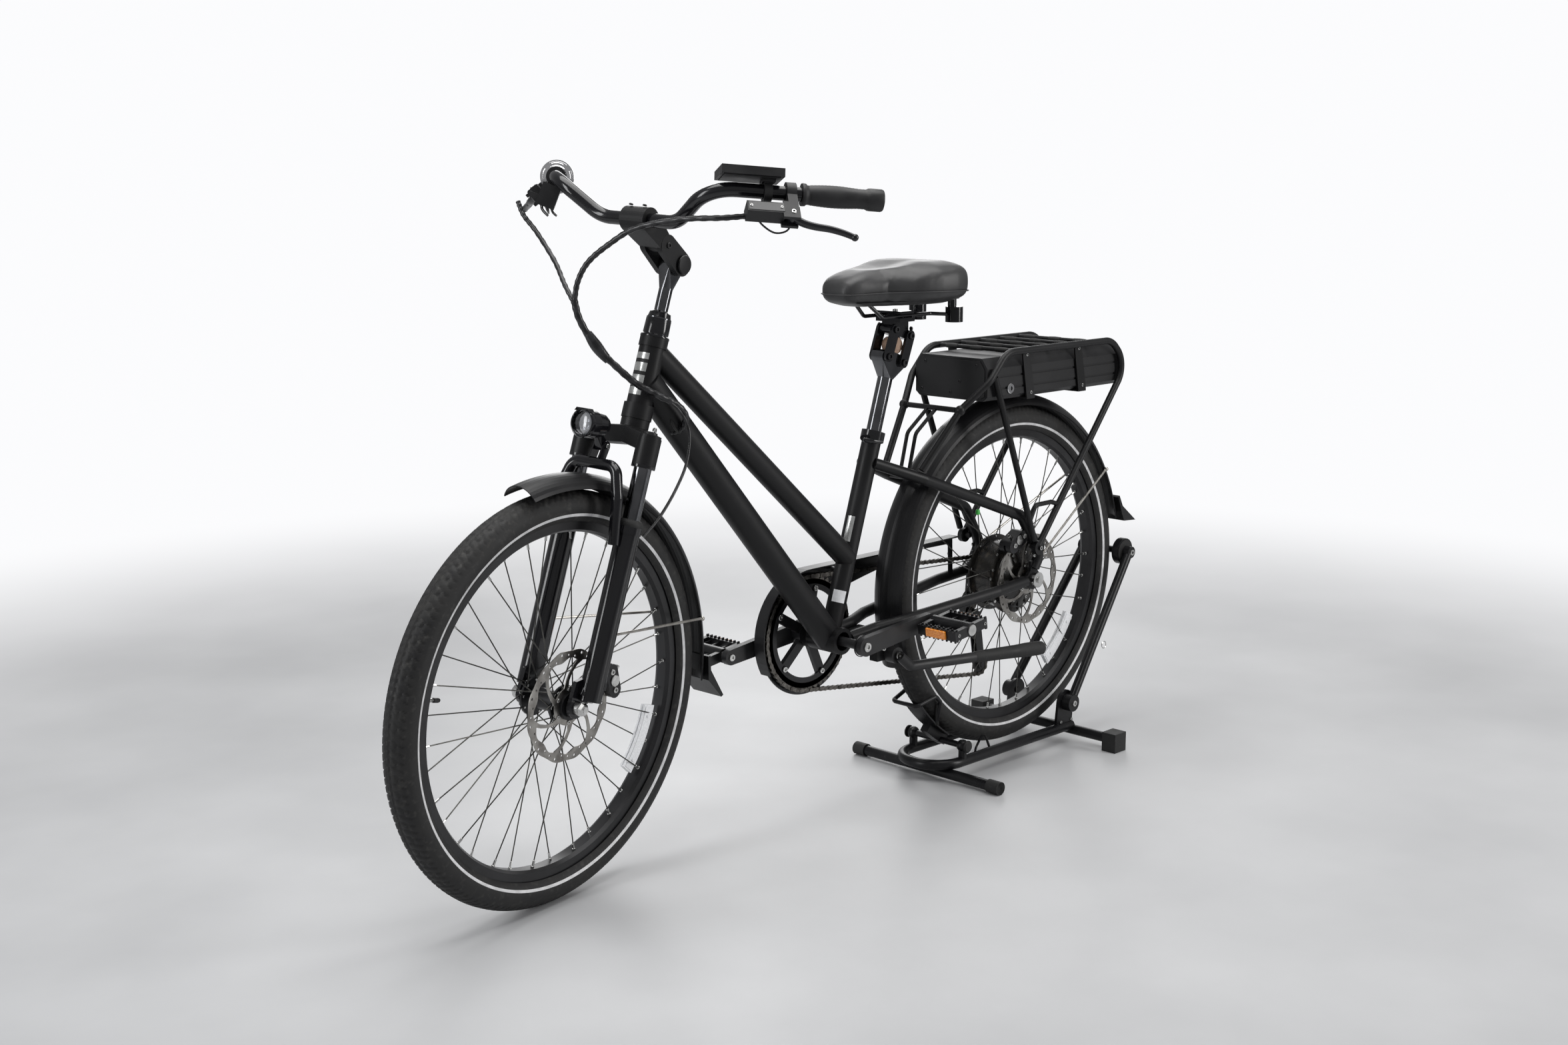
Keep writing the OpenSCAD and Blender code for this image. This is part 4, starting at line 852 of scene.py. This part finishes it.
def patch(at_axis, radius, low, high, start, end, lift=0.25):
    """A thin curved label on a tube whose axis is the local z, between two heights and two angles."""
    steps = 14
    rings = []
    for z, r in ((low, radius - 0.3), (low, radius + lift), (high, radius + lift), (high, radius - 0.3)):
        rings.append([(x, y, z) for x, y in arc((0, 0), r, start, end, steps)])
    n = steps + 1
    verts = [p for ring in rings for p in ring]
    faces = [(i * n + k, i * n + k + 1, (i + 1) % 4 * n + k + 1, (i + 1) % 4 * n + k)
             for i in range(4) for k in range(steps)]
    faces += [(0, n, 2 * n, 3 * n), (n - 1, 4 * n - 1, 3 * n - 1, 2 * n - 1)]
    return placed((verts, faces), at_axis)


def make_frame_details():
    seat_axis = Matrix.Translation(BB) @ SEAT_DIR.to_track_quat("Z", "Y").to_matrix().to_4x4()
    # Angles on the seat tube: find the local direction of the bicycle's front left
    toward = seat_axis.to_3x3().inverted() @ Vector((0.65, 0.75, 0))
    facing = math.degrees(math.atan2(toward.y, toward.x))
    sticker = patch(seat_axis, 17.5, 66, 88, facing - 42, facing + 38)
    piece("seat_tube_sticker", sticker, bike, "frame", "white")
    strip = patch(seat_axis, 17.5, 176, 222, facing - 52, facing - 8)
    piece("seat_tube_strip", strip, bike, "frame", "silver")
    # Plain foil strip on the front of the head tube, with darker bands across it
    upright_axis = Matrix.Identity(4)
    piece("head_strip", patch(upright_axis, 21, 498, 566, -28, 44), head, "frame", "silver")
    bands = [patch(upright_axis, 21.2, z, z + 6, -28, 44, 0.3) for z in (510, 530, 550)]
    piece("head_strip_bands", join(*bands), head, "frame", "plastic")
    # Bearing cover on top of the head tube, and the collar above it
    cover = upright(lathe([(18, 593.6), (23.4, 593.6), (23.6, 595), (23, 597), (20.4, 599)], 48))
    piece("head_cover", cover, head, "steering", "gloss")
    section = [(12, 0), (20.6, 0), (20.8, 3), (20.3, 24), (18.6, 28), (17, 35), (13, 38), (12, 38)]
    collar = upright(lathe(section, 48, True))
    piece("stem_collar", placed(collar, shift(0, 0, 599.5)), fork, "steering", "gloss")
    # Bosses on the top tube
    bosses = [bolt((x, 0, z), (0.2, 0, 1), 3.6, 3) for x, z in ((663.4, 651.6), (723.4, 705.6))]
    piece("top_tube_bosses", join(*bosses), bike, "frame", "steel")
    # Rubber port where the cables enter the down tube
    port = lathe([(4, 0), (9, 0), (12, 1.2), (13, 3), (12, 4.4), (8, 5), (4, 5)], 32)
    port = [(x * 1.5, y, z) for x, y, z in port[0]], port[1]
    port = placed(port, shift(867, 15.5, 741) @ turned(-52, "Y") @ turned(28, "X"))
    piece("cable_port", port, bike, "frame", "rubber")
    # Stay ends, bolts and the small green cap
    screws = []
    for y in (-1, 1):
        screws += [bolt((10, y * 98.4, 424), (0, y, 0), 4.4, 3), bolt((0, y * 75.4, 405), (0, y, 0), 4, 3),
                   bolt((38, y * 75.4, 352), (0, y, 0), 3.4, 3),
                   bolt((404, y * (52 if y > 0 else 30), 290), (0, y, 0), 4, 3)]
    screws += [bolt((372, 59.6, 272), LEFT, 7, 3.4), bolt((290, 45.8, 585), LEFT, 3.6, 3),
               bolt((290, -45.8, 585), RIGHT, 3.6, 3), bolt((40, 12, 707), LEFT, 4.6, 3)]
    piece("frame_screws", join(*screws), bike, "frame", "steel")
    piece("green_cap", cylinder((150, 57, 512), (153, 60, 503), 4.2, 16, 1.5), bike, "frame", "green")
    # Fender stays in bright wire over the CAD rods, with their bosses
    for word, at, body, points, boss in (
            ("rear", rear, "frame", [(-282, 36.2, 178), (-150, 57, 111), (-22, 77.2, 45)], (-282, 37, 178)),
            ("front", front, "fork_lower", [(-283, 36.7, 172.1), (-156.5, 53.4, 146.5), (-30, 70, 121)],
             (-287.5, 37, 173))):
        stays = both_sides(join(tube(curve(points), 2.3, 10), ball(boss, 4.2)))
        piece(f"{word}_fender_stays", stays, at, body, "wire")
    # Quick-release end of the seat clamp
    bends = ((36, 10, -5), (40, 16, -6), (30, 26, -9), (8, 30, -12))
    lever = tube(curve([SEAT_TOP + Vector(v) for v in bends]), lambda s: 5.2 - 1.6 * s, 12, 0.6)
    piece("clamp_lever", lever, bike, "frame", "gloss")


def make_battery():
    """Lock, screws, cover plate and tail light of the battery, and the grips on the rack's deck."""
    front_x, rear_x = 164, -246
    outline = [(-81, 727), (-72, 722), (72, 722), (81, 727), (81, 776), (69, 792), (-69, 792), (-81, 776)]
    cover = plate(outline, 0, 2.2)
    cover = [(front_x + y, x, z) for x, y, z in cover[0]], cover[1]
    piece("battery_cover", cover, bike, "battery", "battery", bevel=1.2)
    screws = join(*[bolt((front_x + 1.8, y, z), (1, 0, 0), 3.2, 1.6)
                    for y, z in ((-70, 732), (70, 732), (62, 784), (-62, 784), (0, 730), (22, 752))])
    piece("battery_screws", screws, bike, "battery", "plastic")
    barrel = lathe([(4, 0), (9.5, 0), (9.5, 2.6), (8.6, 3.4), (4, 3.4)], 32, True)
    lock = join(placed(barrel, shift(98, 86.8, 738)),
                block((96.6, 86, 733), (99.4, 88.4, 743)))
    piece("battery_lock", lock, bike, "battery", "chrome")
    light = plate([(-30, 768), (-30, 786), (-24, 790), (24, 790), (30, 786), (30, 768)], 0, 4)
    light = [(rear_x - y, x, z) for x, y, z in light[0]], light[1]
    piece("tail_light", light, bike, "battery", "red", bevel=1.2)
    handle = tube(curve([(rear_x + 2, -30, 748), (rear_x - 5, -24, 746), (rear_x - 6, 0, 745),
                         (rear_x - 5, 24, 746), (rear_x + 2, 30, 748)]), 3.4, 10)
    piece("battery_handle", handle, bike, "battery", "plastic")
    # Rubber pads where the deck bars meet the rails, and the screws of the strap buckles
    pads = []
    for x in (-150, -90, -30, 30, 90):
        for y in (-60, 0, 60):
            line = curve([(x, y - 14, 807), (x, y, 807), (x, y + 14, 807)])
            pads.append(tube(line, lambda s: 4.9 - 0.5 * abs(2 * s - 1), 14))
    piece("deck_pads", join(*pads), bike, "frame", "rubber")
    buckles = both_sides(join(*[bolt((x - 8, 91.2, 726), LEFT, 3.2, 2) for x in (-112, 48)],
                              *[bolt((x + 6, 91.2, 798), LEFT, 3.2, 2) for x in (-112, 48)]))
    piece("strap_screws", buckles, bike, "frame", "steel")


# ---- Fork, lamp and controls ----

def make_fork():
    # Seals of the lowers, rims of the crown's sockets and knobs on its top, one on each leg
    for name, body, look, profile, steps in (
            ("fork_seals", "fork_lower", "rubber",
             [(14.3, 290), (20.4, 290), (20.9, 292), (20.4, 297), (17.5, 301), (14.3, 302)], 40),
            ("fork_socket_rings", "steering", "gloss",
             [(14.2, 383.5), (18.8, 383.5), (19.2, 385), (19.2, 388), (14.2, 388)], 40),
            ("fork_knobs", "steering", "plastic",
             [(3, 435), (11, 435), (11.4, 437), (10.4, 441), (4, 442)], 24)):
        ring = upright(lathe(profile, steps))
        pair = join(*[placed(ring, shift(LEG_X, y, 0)) for y in (-LEG_Y, LEG_Y)])
        piece(name, pair, fork, body, look)
    nub = cylinder((LEG_X - 4, LEG_Y + 3, 441), (LEG_X - 12, LEG_Y - 4, 448), 3.4, 12, 1)
    piece("fork_nub", nub, fork, "steering", "steel")
    legs = []
    for y, out in ((LEG_Y, 1), (-LEG_Y, -1)):
        legs += [bolt((LEG_X, y, 14.3), (0, 0, -1), 6, 3), bolt((72, y * 0.98, 330), (1, out, 0), 3, 2)]
    legs += [bolt((66, 12, 405), LEFT, 4.2, 2.6), bolt((66, -12, 405), RIGHT, 4.2, 2.6)]
    piece("fork_screws", join(*legs), fork, "fork_lower", "steel")
    # Caliper bolts and hose unions of both brakes
    for word, at, body, a, y, lift in (("front", front, "fork_lower", 148, 39, 3),
                                       ("rear", rear, "frame", 62, 60.6, 2)):
        r = ROTOR_R + lift
        place = shift(r * math.cos(math.radians(a)), y, r * math.sin(math.radians(a))) @ turned(90 - a, "Y")
        pads = join(bolt((-16, 13.2, 0), LEFT, 5, 2.6), bolt((16, 13.2, 0), LEFT, 5, 2.6),
                    cylinder((0, 12.8, 2), (0, 16.4, 2), 9.5, 28, 1),
                    cylinder((8, 4, 12), (16, 6, 22), 3.2, 12))
        piece(f"{word}_caliper_bolts", placed(pads, place), at, body, "steel")


def make_lamp():
    bowl = upright(lathe([(20, 41), (18.9, 39), (14.5, 36.4), (7.3, 34.8), (4.4, 34.6), (3.9, 35.4),
                          (7.3, 35.8), (14.2, 37.4), (18.1, 40), (19.3, 41.6)], 48, True))
    piece("lamp_bowl", bowl, lamp, "headlamp", "chrome")
    cell = upright(lathe([(0.3, 35.2), (5.4, 36.2), (5.6, 40.4), (4.6, 41.2), (0.3, 41.8)], 20))
    cells = join(*[placed(cell, shift(7 * math.cos(a), 7 * math.sin(a), 0)) for a in (0.6, 2.7, 4.8)])
    piece("lamp_cells", cells, lamp, "headlamp", "lens")
    glass = upright(lathe([(20, 43.6), (20, 48), (17.4, 51), (11.6, 53), (4.4, 53.8), (0.3, 53.9),
                           (0.3, 52.1), (4.4, 52), (11.6, 51.2), (16.7, 49), (18.6, 46.4), (18.8, 43.6)], 48))
    piece("lamp_glass", glass, lamp, "headlamp", "lens", replaces=["headlamp_lens"])
    section = [(22.4, 44), (23, 46), (23, 52), (22, 53.4), (20.4, 53), (20.4, 51.6), (22, 50)]
    piece("lamp_ring", upright(lathe(section, 48, True)), lamp, "headlamp", "gloss")
    # Visor over the top of the lens
    visor = plate([(-16, -17), (-12, -22.6), (12, -22.6), (16, -17), (12, -20), (-12, -20)], 0, 1)
    brow = [(z - 0.6, x, 44 + 12 * y) for x, y, z in visor[0]], visor[1]
    piece("lamp_brow", brow, lamp, "headlamp", "gloss", bevel=0.5)


def make_controls():
    for side, word in ((1, "left"), (-1, "right")):
        at = grip_section(side)
        # Grip with a swelling palm, a collar at each end and fine rings
        profile = [(11.2, 143), (17, 143), (17.4, 144.5), (17, 149), (14.8, 151), (14.6, 155)]
        for k in range(33):
            share = k / 32
            r = 14.9 + 1.9 * math.sin(math.pi * min(1, share * 1.15)) + (0.22 if k % 2 else 0)
            profile.append((r, 156 + 86 * share))
        profile += [(15.4, 244), (16.8, 246.5), (17.2, 250), (17.2, GRIP_LEN), (16, GRIP_LEN + 2.4),
                    (11.4, GRIP_LEN + 3), (0.4, GRIP_LEN + 3), (0.4, GRIP_LEN + 0.2), (11.2, GRIP_LEN + 0.2)]
        piece(f"grip_{word}", upright(lathe(profile, 56)), at, "bars", "grip", sharp=50,
              replaces=["grips"] if side > 0 else ())
        # Reservoir lid, clamp screws and pivot of the brake perch
        roll = turned(LEVER[0], "Z")
        lid = block((33.5, -12.8, 55.5), (50.5, -11.4, 110.5))
        piece(f"reservoir_lid_{word}", placed(lid, roll), at, "bars", "gloss", bevel=0.6)
        screws = join(bolt((42, -12.4, 60), RIGHT, 2.6, 1.8), bolt((42, -12.4, 106), RIGHT, 2.6, 1.8),
                      bolt((48, 11.8, 124), LEFT, 4, 1.6), bolt((48, -11.8, 124), RIGHT, 4, 1.6),
                      bolt((-10, 14, 125.5), (-0.6, 0.8, 0), 3.4, 3.4), bolt((18, 12.2, 122), LEFT, 3, 2))
        piece(f"perch_screws_{word}", placed(screws, roll), at, "bars", "steel")
        blade = tube(curve([(3, 0, 3), (12, 0, 17), (17, 0, 34), (20, 0, 56), (26, 0, 76), (33, 0, 91)]),
                     lambda s: 5.6 - 1.4 * s, 14, 1.25)
        pivot = lathe([(2.6, -6.2), (8.2, -6.2), (8.6, -5), (8.6, 5), (8.2, 6.2), (2.6, 6.2)], 28, True)
        lever = join(blade, ball((33.4, 0, 92.4), 5.8), pivot)
        piece(f"lever_blade_{word}", lever, lever_section(side), f"brake_lever_{word}", "gloss",
              replaces=[f"brake_lever_{word}"])
    # Chrome twist bell: a stack of rings that grow outwards
    rings = [(58, 13), (58, 17)]
    for z, r in ((60, 20), (63, 22), (67, 24.5), (72, 26.5), (77, 27.4), (82, 27.4), (87, 26.6)):
        rings += [(z - 0.2, r - 1.6), (z, r), (z + 2.2, r + 0.1), (z + 2.4, r - 1.2)]
    rings += [(90, 24), (90, 11.4), (88, 11.4), (58.4, 11.4)]
    drum = upright(lathe([(r, z) for z, r in rings], 64, True))
    piece("bell_drum", drum, grip_section(-1), "bell", "chrome", replaces=["bell"], sharp=25)
    # Display glass, the three buttons beside it, and the back with its mount and bolt
    panel = shift(0, -23, 62) @ turned(-15, "Z")
    glass = block((-26, -8.7, -42), (24, -7.9, 30))
    piece("display_glass", placed(glass, panel), grip_section(1), "bars", "screen", bevel=0.5)
    keys = join(*[block((x, -9.2, 34), (x + 11, -7.8, 42)) for x in (-24, -7, 10)])
    piece("display_keys", placed(keys, panel), grip_section(1), "bars", "rubber", bevel=0.6)
    back = join(block((-25, 4.8, -43), (23, 6.4, 43)), block((-14, 6, 18), (12, 10, 38)),
                bolt((-1, 9.6, 28), LEFT, 4, 2))
    piece("display_back", placed(back, panel), grip_section(1), "bars", "plastic", bevel=0.8)
    # Shift levers
    levers = join(tube(curve([(44, -8, 40), (56, -2, 36), (62, 10, 30)]), lambda s: 4.4 - s, 12, 0.6),
                  tube(curve([(44, 8, 46), (54, 14, 50), (58, 22, 54)]), lambda s: 4 - s, 12, 0.6))
    piece("shift_levers", placed(levers, turned(70, "Z")), grip_section(-1), "bars", "gloss")
    # Stem screws, four of them on top of the clamp, and the pivot caps
    stem = join(*[bolt((x, y, 778.4), (0, 0, 1), 3.4, 2.4) for x in (90, 110) for y in (-14, 14)],
                bolt((44, 22.6, 735), LEFT, 5, 3), bolt((44, -22.6, 735), RIGHT, 5, 3))
    piece("stem_screws", stem, fork, "bars", "plastic")
    cap = lathe([(3, 0), (14.6, 0), (15.4, 1.2), (14.4, 3), (9, 3.8), (3, 4)], 40)
    piece("stem_pivot_caps", both_sides(placed(cap, shift(0, 25.4, 716))), fork, "bars", "frame")


# ---- Cables ----

CABLE_LEFT = [(916, 226, 1085), (920, 192, 1074), (948, 125, 1071), (975, 55, 1057), (993, 10, 1031),
              (1009, -20, 1004), (1018, -35, 974), (1020, -42, 942)]
CABLE_RIGHT = [(1000, -205, 1094), (999, -192, 1072), (994, -165, 1045), (1003, -110, 1002), (1016, -70, 968),
               (1020, -42, 940)]
CABLE_TRUNK = [(1020, -42, 944), (1013, -38, 914), (994, -25, 874), (974, 0, 842), (948, 20, 813),
               (917, 34, 794), (884, 42, 776), (864, 40, 754), (861, 24, 734), (868, 8, 728)]
FRONT_HOSE = [(917, 36, 794), (886, 46, 770), (867, 50, 734), (881, 60, 688), (911, 68, 649), (950, 74, 611),
              (988, 76, 582)]


def wrapped(points, radius):
    """A bundle in spiral wrap: its radius rises and falls with each turn of the tape."""
    path = curve(points, 14)
    length = sum((b - a).length for a, b in zip(path, path[1:]))
    turns = length / 13
    return tube(path, lambda s: radius + 0.35 * math.sin(2 * math.pi * turns * s), 14)


def make_cables():
    # The left bundle runs on behind the reservoir to the lever's pivot
    perch = bike.inverted() @ grip_section(1) @ turned(LEVER[0], "Z")
    ends = [tuple(perch @ Vector(p)) for p in ((27, 13, 122), (31, 17, 96), (33, 18, 70))]
    left = wrapped(ends + CABLE_LEFT[1:], 4.4)
    right = wrapped(CABLE_RIGHT, 3.9)
    upper = piece("cables_to_bars", join(left, right), bike, None, "wrap", sharp=60,
                  replaces=["control_cables"])
    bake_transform(upper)
    sleeve = tube(curve([(1003, -32, 894), (996, -27, 880), (989, -20, 866), (980, -10, 850)]),
                  lambda s: 6.2 + 3.2 * math.sin(math.pi * s), 16)
    trunk = piece("cables_to_frame", join(wrapped(CABLE_TRUNK, 5.6), sleeve), bike, None, "wrap", sharp=60)
    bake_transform(trunk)
    hose = piece("front_brake_hose", tube(curve(FRONT_HOSE, 10), 2.5, 12), bike, None, "wrap", sharp=60)
    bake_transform(hose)
    # Thin leads under both perches
    loop = tube(curve([(38, 12, 70), (46, 24, 84), (50, 34, 104), (48, 30, 122), (42, 16, 128)]), 1.5, 8)
    loop = placed(loop, turned(LEVER[0], "Z"))
    for side, word in ((1, "left"), (-1, "right")):
        piece(f"switch_lead_{word}", loop, grip_section(side), "bars", "wrap")


# ---- Seat ----

def saddle_ring(share, points=56):
    """One upright section of the saddle; share runs from its tail at 0 to its nose at 1."""
    x = 221 + 262 * share
    half = float(np.interp(share, (0, 0.03, 0.09, 0.2, 0.34, 0.46, 0.58, 0.7, 0.82, 0.92, 0.97, 1),
                           (70, 92, 106, 110, 106, 95, 78, 61, 49, 42, 36, 24)))
    top = float(np.interp(share, (0, 0.04, 0.16, 0.34, 0.52, 0.7, 0.84, 0.93, 0.98, 1),
                          (964, 976, 980, 976, 968, 964, 963, 958, 950, 940)))
    low = float(np.interp(share, (0, 0.05, 0.2, 0.5, 0.8, 0.95, 1), (915, 908, 905.5, 906, 908, 912, 920)))
    dip = 6 * math.exp(-((share - 0.4) / 0.34) ** 2)
    ring = []
    for k in range(points):
        a = 2 * math.pi * k / points
        c, s = math.cos(a), math.sin(a)
        y = half * math.copysign(abs(c) ** 0.5, c)
        if s < 0:
            y *= 1 - 0.1 * abs(s)
        middle = low + (top - low) * 0.42
        z = middle + ((top - middle) * abs(s) ** 0.5 if s > 0 else -(middle - low) * abs(s) ** 0.55)
        z -= dip * math.exp(-(y / 28) ** 2) if s > 0 else 0
        ring.append((x, y, z))
    return ring


def puff(obj, low, high, cap=0.006, frames=12):
    """Inflates a closed pad with cloth and keeps each point within cap of where it was, inside a box."""
    before = np.array([v.co for v in obj.data.vertices], float)
    cloth = obj.modifiers.new("stuffing", "CLOTH")
    cloth.settings.use_pressure = True
    cloth.settings.uniform_pressure_force = 4
    cloth.settings.quality = 4
    cloth.settings.effector_weights.gravity = 0
    scene = bpy.context.scene
    for f in range(1, frames + 1):
        scene.frame_set(f)
    shaped = obj.evaluated_get(bpy.context.evaluated_depsgraph_get()).data
    after = np.array([v.co for v in shaped.vertices], float)
    obj.modifiers.remove(cloth)
    scene.frame_set(1)
    move = after - before
    size = np.linalg.norm(move, axis=1, keepdims=True)
    move *= np.minimum(1, cap / np.maximum(size, 1e-9))
    settled = np.clip(before + move, low, high)
    obj.data.vertices.foreach_set("co", settled.astype(np.float32).ravel())
    obj.data.update()


def make_saddle():
    rings = [saddle_ring(k / 40) for k in range(41)]
    obj = piece("saddle_cushion", loft(rings), bike, None, "vinyl", sharp=180, replaces=["saddle"])
    remesh = obj.modifiers.new("voxels", "REMESH")
    remesh.mode = "VOXEL"
    remesh.voxel_size = 0.0045
    made = bpy.data.meshes.new_from_object(obj.evaluated_get(bpy.context.evaluated_depsgraph_get()))
    obj.modifiers.clear()
    obj.data = made
    made.shade_smooth()
    low, high = (np.array(corner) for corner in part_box("saddle"))
    puff(obj, low - (0, 0, 0.008), high - (0, 0, 0.001))
    smooth = obj.modifiers.new("skin", "SMOOTH")
    smooth.factor, smooth.iterations = 0.5, 4
    finer = obj.modifiers.new("finer", "SUBSURF")
    finer.levels = finer.render_levels = 1
    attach(obj, "seat")
    # Welt that runs round the lower edge, and the moulded tray below
    left = []
    for k, ring in enumerate(rings):
        x, y, _ = max(ring, key=lambda p: p[1])
        left.append(Vector((x, y - 0.4, 927 + 2 * math.sin(3 * k / 40))))
    right = [Vector((p.x, -p.y, p.z)) for p in reversed(left)]
    welt = tube(left + right + [left[0]], 1.3, 8)
    piece("saddle_welt", welt, bike, "seat", "vinyl")
    tray = [[(x, y * 0.8, min(max(z, 905.2), 912)) for x, y, z in saddle_ring(k / 20)] for k in range(1, 19)]
    piece("saddle_tray", loft(tray), bike, "seat", "plastic")


def make_seat_post():
    for word, places in (("front", ((358, 812), (340, 859))), ("rear", ((318, 798), (300, 845)))):
        pins = both_sides(join(*[bolt((x, 21.4, z), LEFT, 6.4, 2.4) for x, z in places]))
        piece(f"link_pins_{word}", pins, bike, f"link_{word}", "alloy")
    # Elastomer block between the links
    barrel = lathe([(4, -13), (13.4, -13), (15, -11.4), (15.6, 0), (15, 11.4), (13.4, 13), (4, 13)], 32)
    spring = piece("elastomer", placed(barrel, shift(329, 0, 829)), bike, "seatpost", "elastomer")
    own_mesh(spring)
    clamp = join(bolt((321, 0, 890.4), (0, 0, 1), 5, 3), bolt((301, 20, 858), (-1, 0, 0), 4, 2),
                 bolt((341, -20, 866), (1, 0, 0), 4, 2))
    piece("seat_clamp_bolts", clamp, bike, "seat", "steel")


# ---- Kickstand and floor stand ----

def make_stands():
    bend, foot = Vector((344, 64, 248)), Vector((190, 90, 241))
    way = (foot - bend).normalized()
    profile = [(9.6, -4), (10.6, 0), (11.4, 20), (11.8, 60), (12.4, 100), (13.4, 128), (13.5, 158),
               (12.4, 167), (8, 171.5), (0.4, 172)]
    rings = [(r + (0.35 if 70 < z < 160 and k % 2 else 0), z) for k, (r, z) in enumerate(profile)]
    turn = way.to_track_quat("Z", "Y").to_matrix().to_4x4()
    sleeve = placed(upright(lathe(rings, 40)), Matrix.Translation(foot) @ turn)
    piece("kickstand_sleeve", sleeve, bike, "kickstand", "rubber",
          replaces=["kickstand_foot"])
    # Stand: screws on its brackets, rubber caps and sleeves, pull ring and wire
    screws = both_sides(join(bolt((-128, 84.8, 84), LEFT, 6, 3.4), bolt((190, 73.6, 62), LEFT, 5, 3),
                             bolt((-146, 65, 44), LEFT, 3.4, 2.4), bolt((-112, 65, 44), LEFT, 3.4, 2.4)))
    piece("stand_screws", screws, bike, "stand", "steel")

    def caps(name, body, profile, steps, place):
        piece(name, both_sides(placed(lathe(profile, steps), shift(*place))), bike, body, "rubber")

    caps("stand_shaft_caps", "stand", [(5, 0), (12, 0), (12, 2), (9, 4.6), (5, 5)], 28, (190, 73, 62))
    caps("roller_caps", "stand_roller", [(6, 0), (24, 0), (24, 2), (9, 3), (6, 3)], 40, (-341, 46.4, 358))
    hubs = both_sides(bolt((-341, 63.6, 358), LEFT, 6, 3.4))
    piece("arm_screws", hubs, bike, "stand_arms", "steel")
    loop = [(x, 86, z) for x, z in arc((-222, 188), 7, 0, 360, 20)]
    piece("pull_ring", tube(loop, 0.9, 8), bike, "stand_arms", "steel")
    wire = tube(curve([(100, 54, 38), (108, 46, 62), (122, 40, 40), (140, 52, 36)]), 2.4, 10)
    piece("stand_wire", wire, bike, "stand", "stand")
    lips = both_sides(tube(curve([(217, 20, 101), (222, 24, 122), (226, 30, 145)]), 4.3, 12))
    piece("cradle_wire_sleeves", lips, bike, "cradle", "rubber")
    caps("foot_caps", "stand", [(4, 0), (12.4, 0), (12.4, 2), (11, 4), (4, 4)], 28, (223, 178, 12.5))


# ---- Studio ----

def make_studio():
    """Pale floor that brightens to the white surround, and soft lights."""
    floor_mesh = bpy.data.meshes.new("floor")
    size = 30.0
    corners = [(x * size, y * size, -0.0005) for x, y in ((-1, -1), (1, -1), (1, 1), (-1, 1))]
    floor_mesh.from_pydata(corners, [], [(0, 1, 2, 3)])
    floor = bpy.data.objects.new("floor", floor_mesh)
    bpy.context.scene.collection.objects.link(floor)
    material, tree, shader = new_material("floor_paint")
    drift = noise_node(tree, 1.6, 8)
    tone = ramp_node(tree, drift.outputs["Fac"], [(0.3, (0.44, 0.445, 0.455)), (0.7, (0.54, 0.545, 0.555))])
    tree.links.new(tone.outputs["Color"], shader.inputs["Base Color"])
    shader.inputs["Roughness"].default_value = 0.42
    shader.inputs["Specular IOR Level"].default_value = 0.3
    # Beyond the set the floor turns into the white surround
    glow = tree.nodes.new("ShaderNodeEmission")
    glow.inputs["Color"].default_value = (0.97, 0.972, 0.985, 1)
    place = tree.nodes.new("ShaderNodeTexCoord")
    reach = tree.nodes.new("ShaderNodeVectorMath")
    reach.operation = "LENGTH"
    tree.links.new(place.outputs["Object"], reach.inputs[0])
    share = range_node(tree, reach.outputs["Value"], 0, 1, 1.5, 3.4)
    share.interpolation_type = "SMOOTHSTEP"
    seen = tree.nodes.new("ShaderNodeLightPath")
    both = tree.nodes.new("ShaderNodeMath")
    both.operation = "MULTIPLY"
    tree.links.new(share.outputs["Result"], both.inputs[0])
    tree.links.new(seen.outputs["Is Camera Ray"], both.inputs[1])
    mix = tree.nodes.new("ShaderNodeMixShader")
    tree.links.new(both.outputs["Value"], mix.inputs["Fac"])
    tree.links.new(shader.outputs["BSDF"], mix.inputs[1])
    tree.links.new(glow.outputs["Emission"], mix.inputs[2])
    tree.links.new(mix.outputs["Shader"], tree.nodes["Material Output"].inputs["Surface"])
    floor_mesh.materials.append(material)

    world = bpy.data.worlds.new("studio")
    bpy.context.scene.world = world
    world.use_nodes = True
    sky = world.node_tree
    background = sky.nodes["Background"]
    background.inputs["Color"].default_value = (0.97, 0.972, 0.985, 1)
    rays = sky.nodes.new("ShaderNodeLightPath")
    level = sky.nodes.new("ShaderNodeMapRange")
    level.inputs["To Min"].default_value = 0.3
    level.inputs["To Max"].default_value = 1.0
    sky.links.new(rays.outputs["Is Camera Ray"], level.inputs["Value"])
    sky.links.new(level.outputs["Result"], background.inputs["Strength"])

    for name, place, size, power, colour in (
            ("ceiling", (0.0, 0.0, 3.4), (3.4, 2.6), 105, (1, 0.995, 0.985)),
            ("left_wall", (-2.0, 3.2, 1.7), (0.9, 2.4), 62, (1, 0.99, 0.98)),
            ("front_wall", (3.6, -0.9, 1.8), (0.9, 2.4), 48, (0.98, 0.99, 1)),
            ("back_wall", (-2.8, -2.8, 2.0), (2.4, 2.2), 45, (1, 1, 1))):
        data = bpy.data.lights.new(name, "AREA")
        data.shape = "RECTANGLE"
        data.size, data.size_y = size
        data.energy = power
        data.color = colour
        light = bpy.data.objects.new(name, data)
        bpy.context.scene.collection.objects.link(light)
        light.location = place
        light.rotation_mode = "QUATERNION"
        light.rotation_quaternion = (Vector((0, 0, 0.6)) - Vector(place)).to_track_quat("-Z", "Y")
    bpy.context.scene.view_settings.view_transform = "Standard"


make_camera()
dress_nodes()
make_cables()
make_wheels()
make_drive()
make_frame_details()
make_battery()
make_fork()
make_lamp()
make_controls()
make_saddle()
make_seat_post()
make_stands()
make_studio()
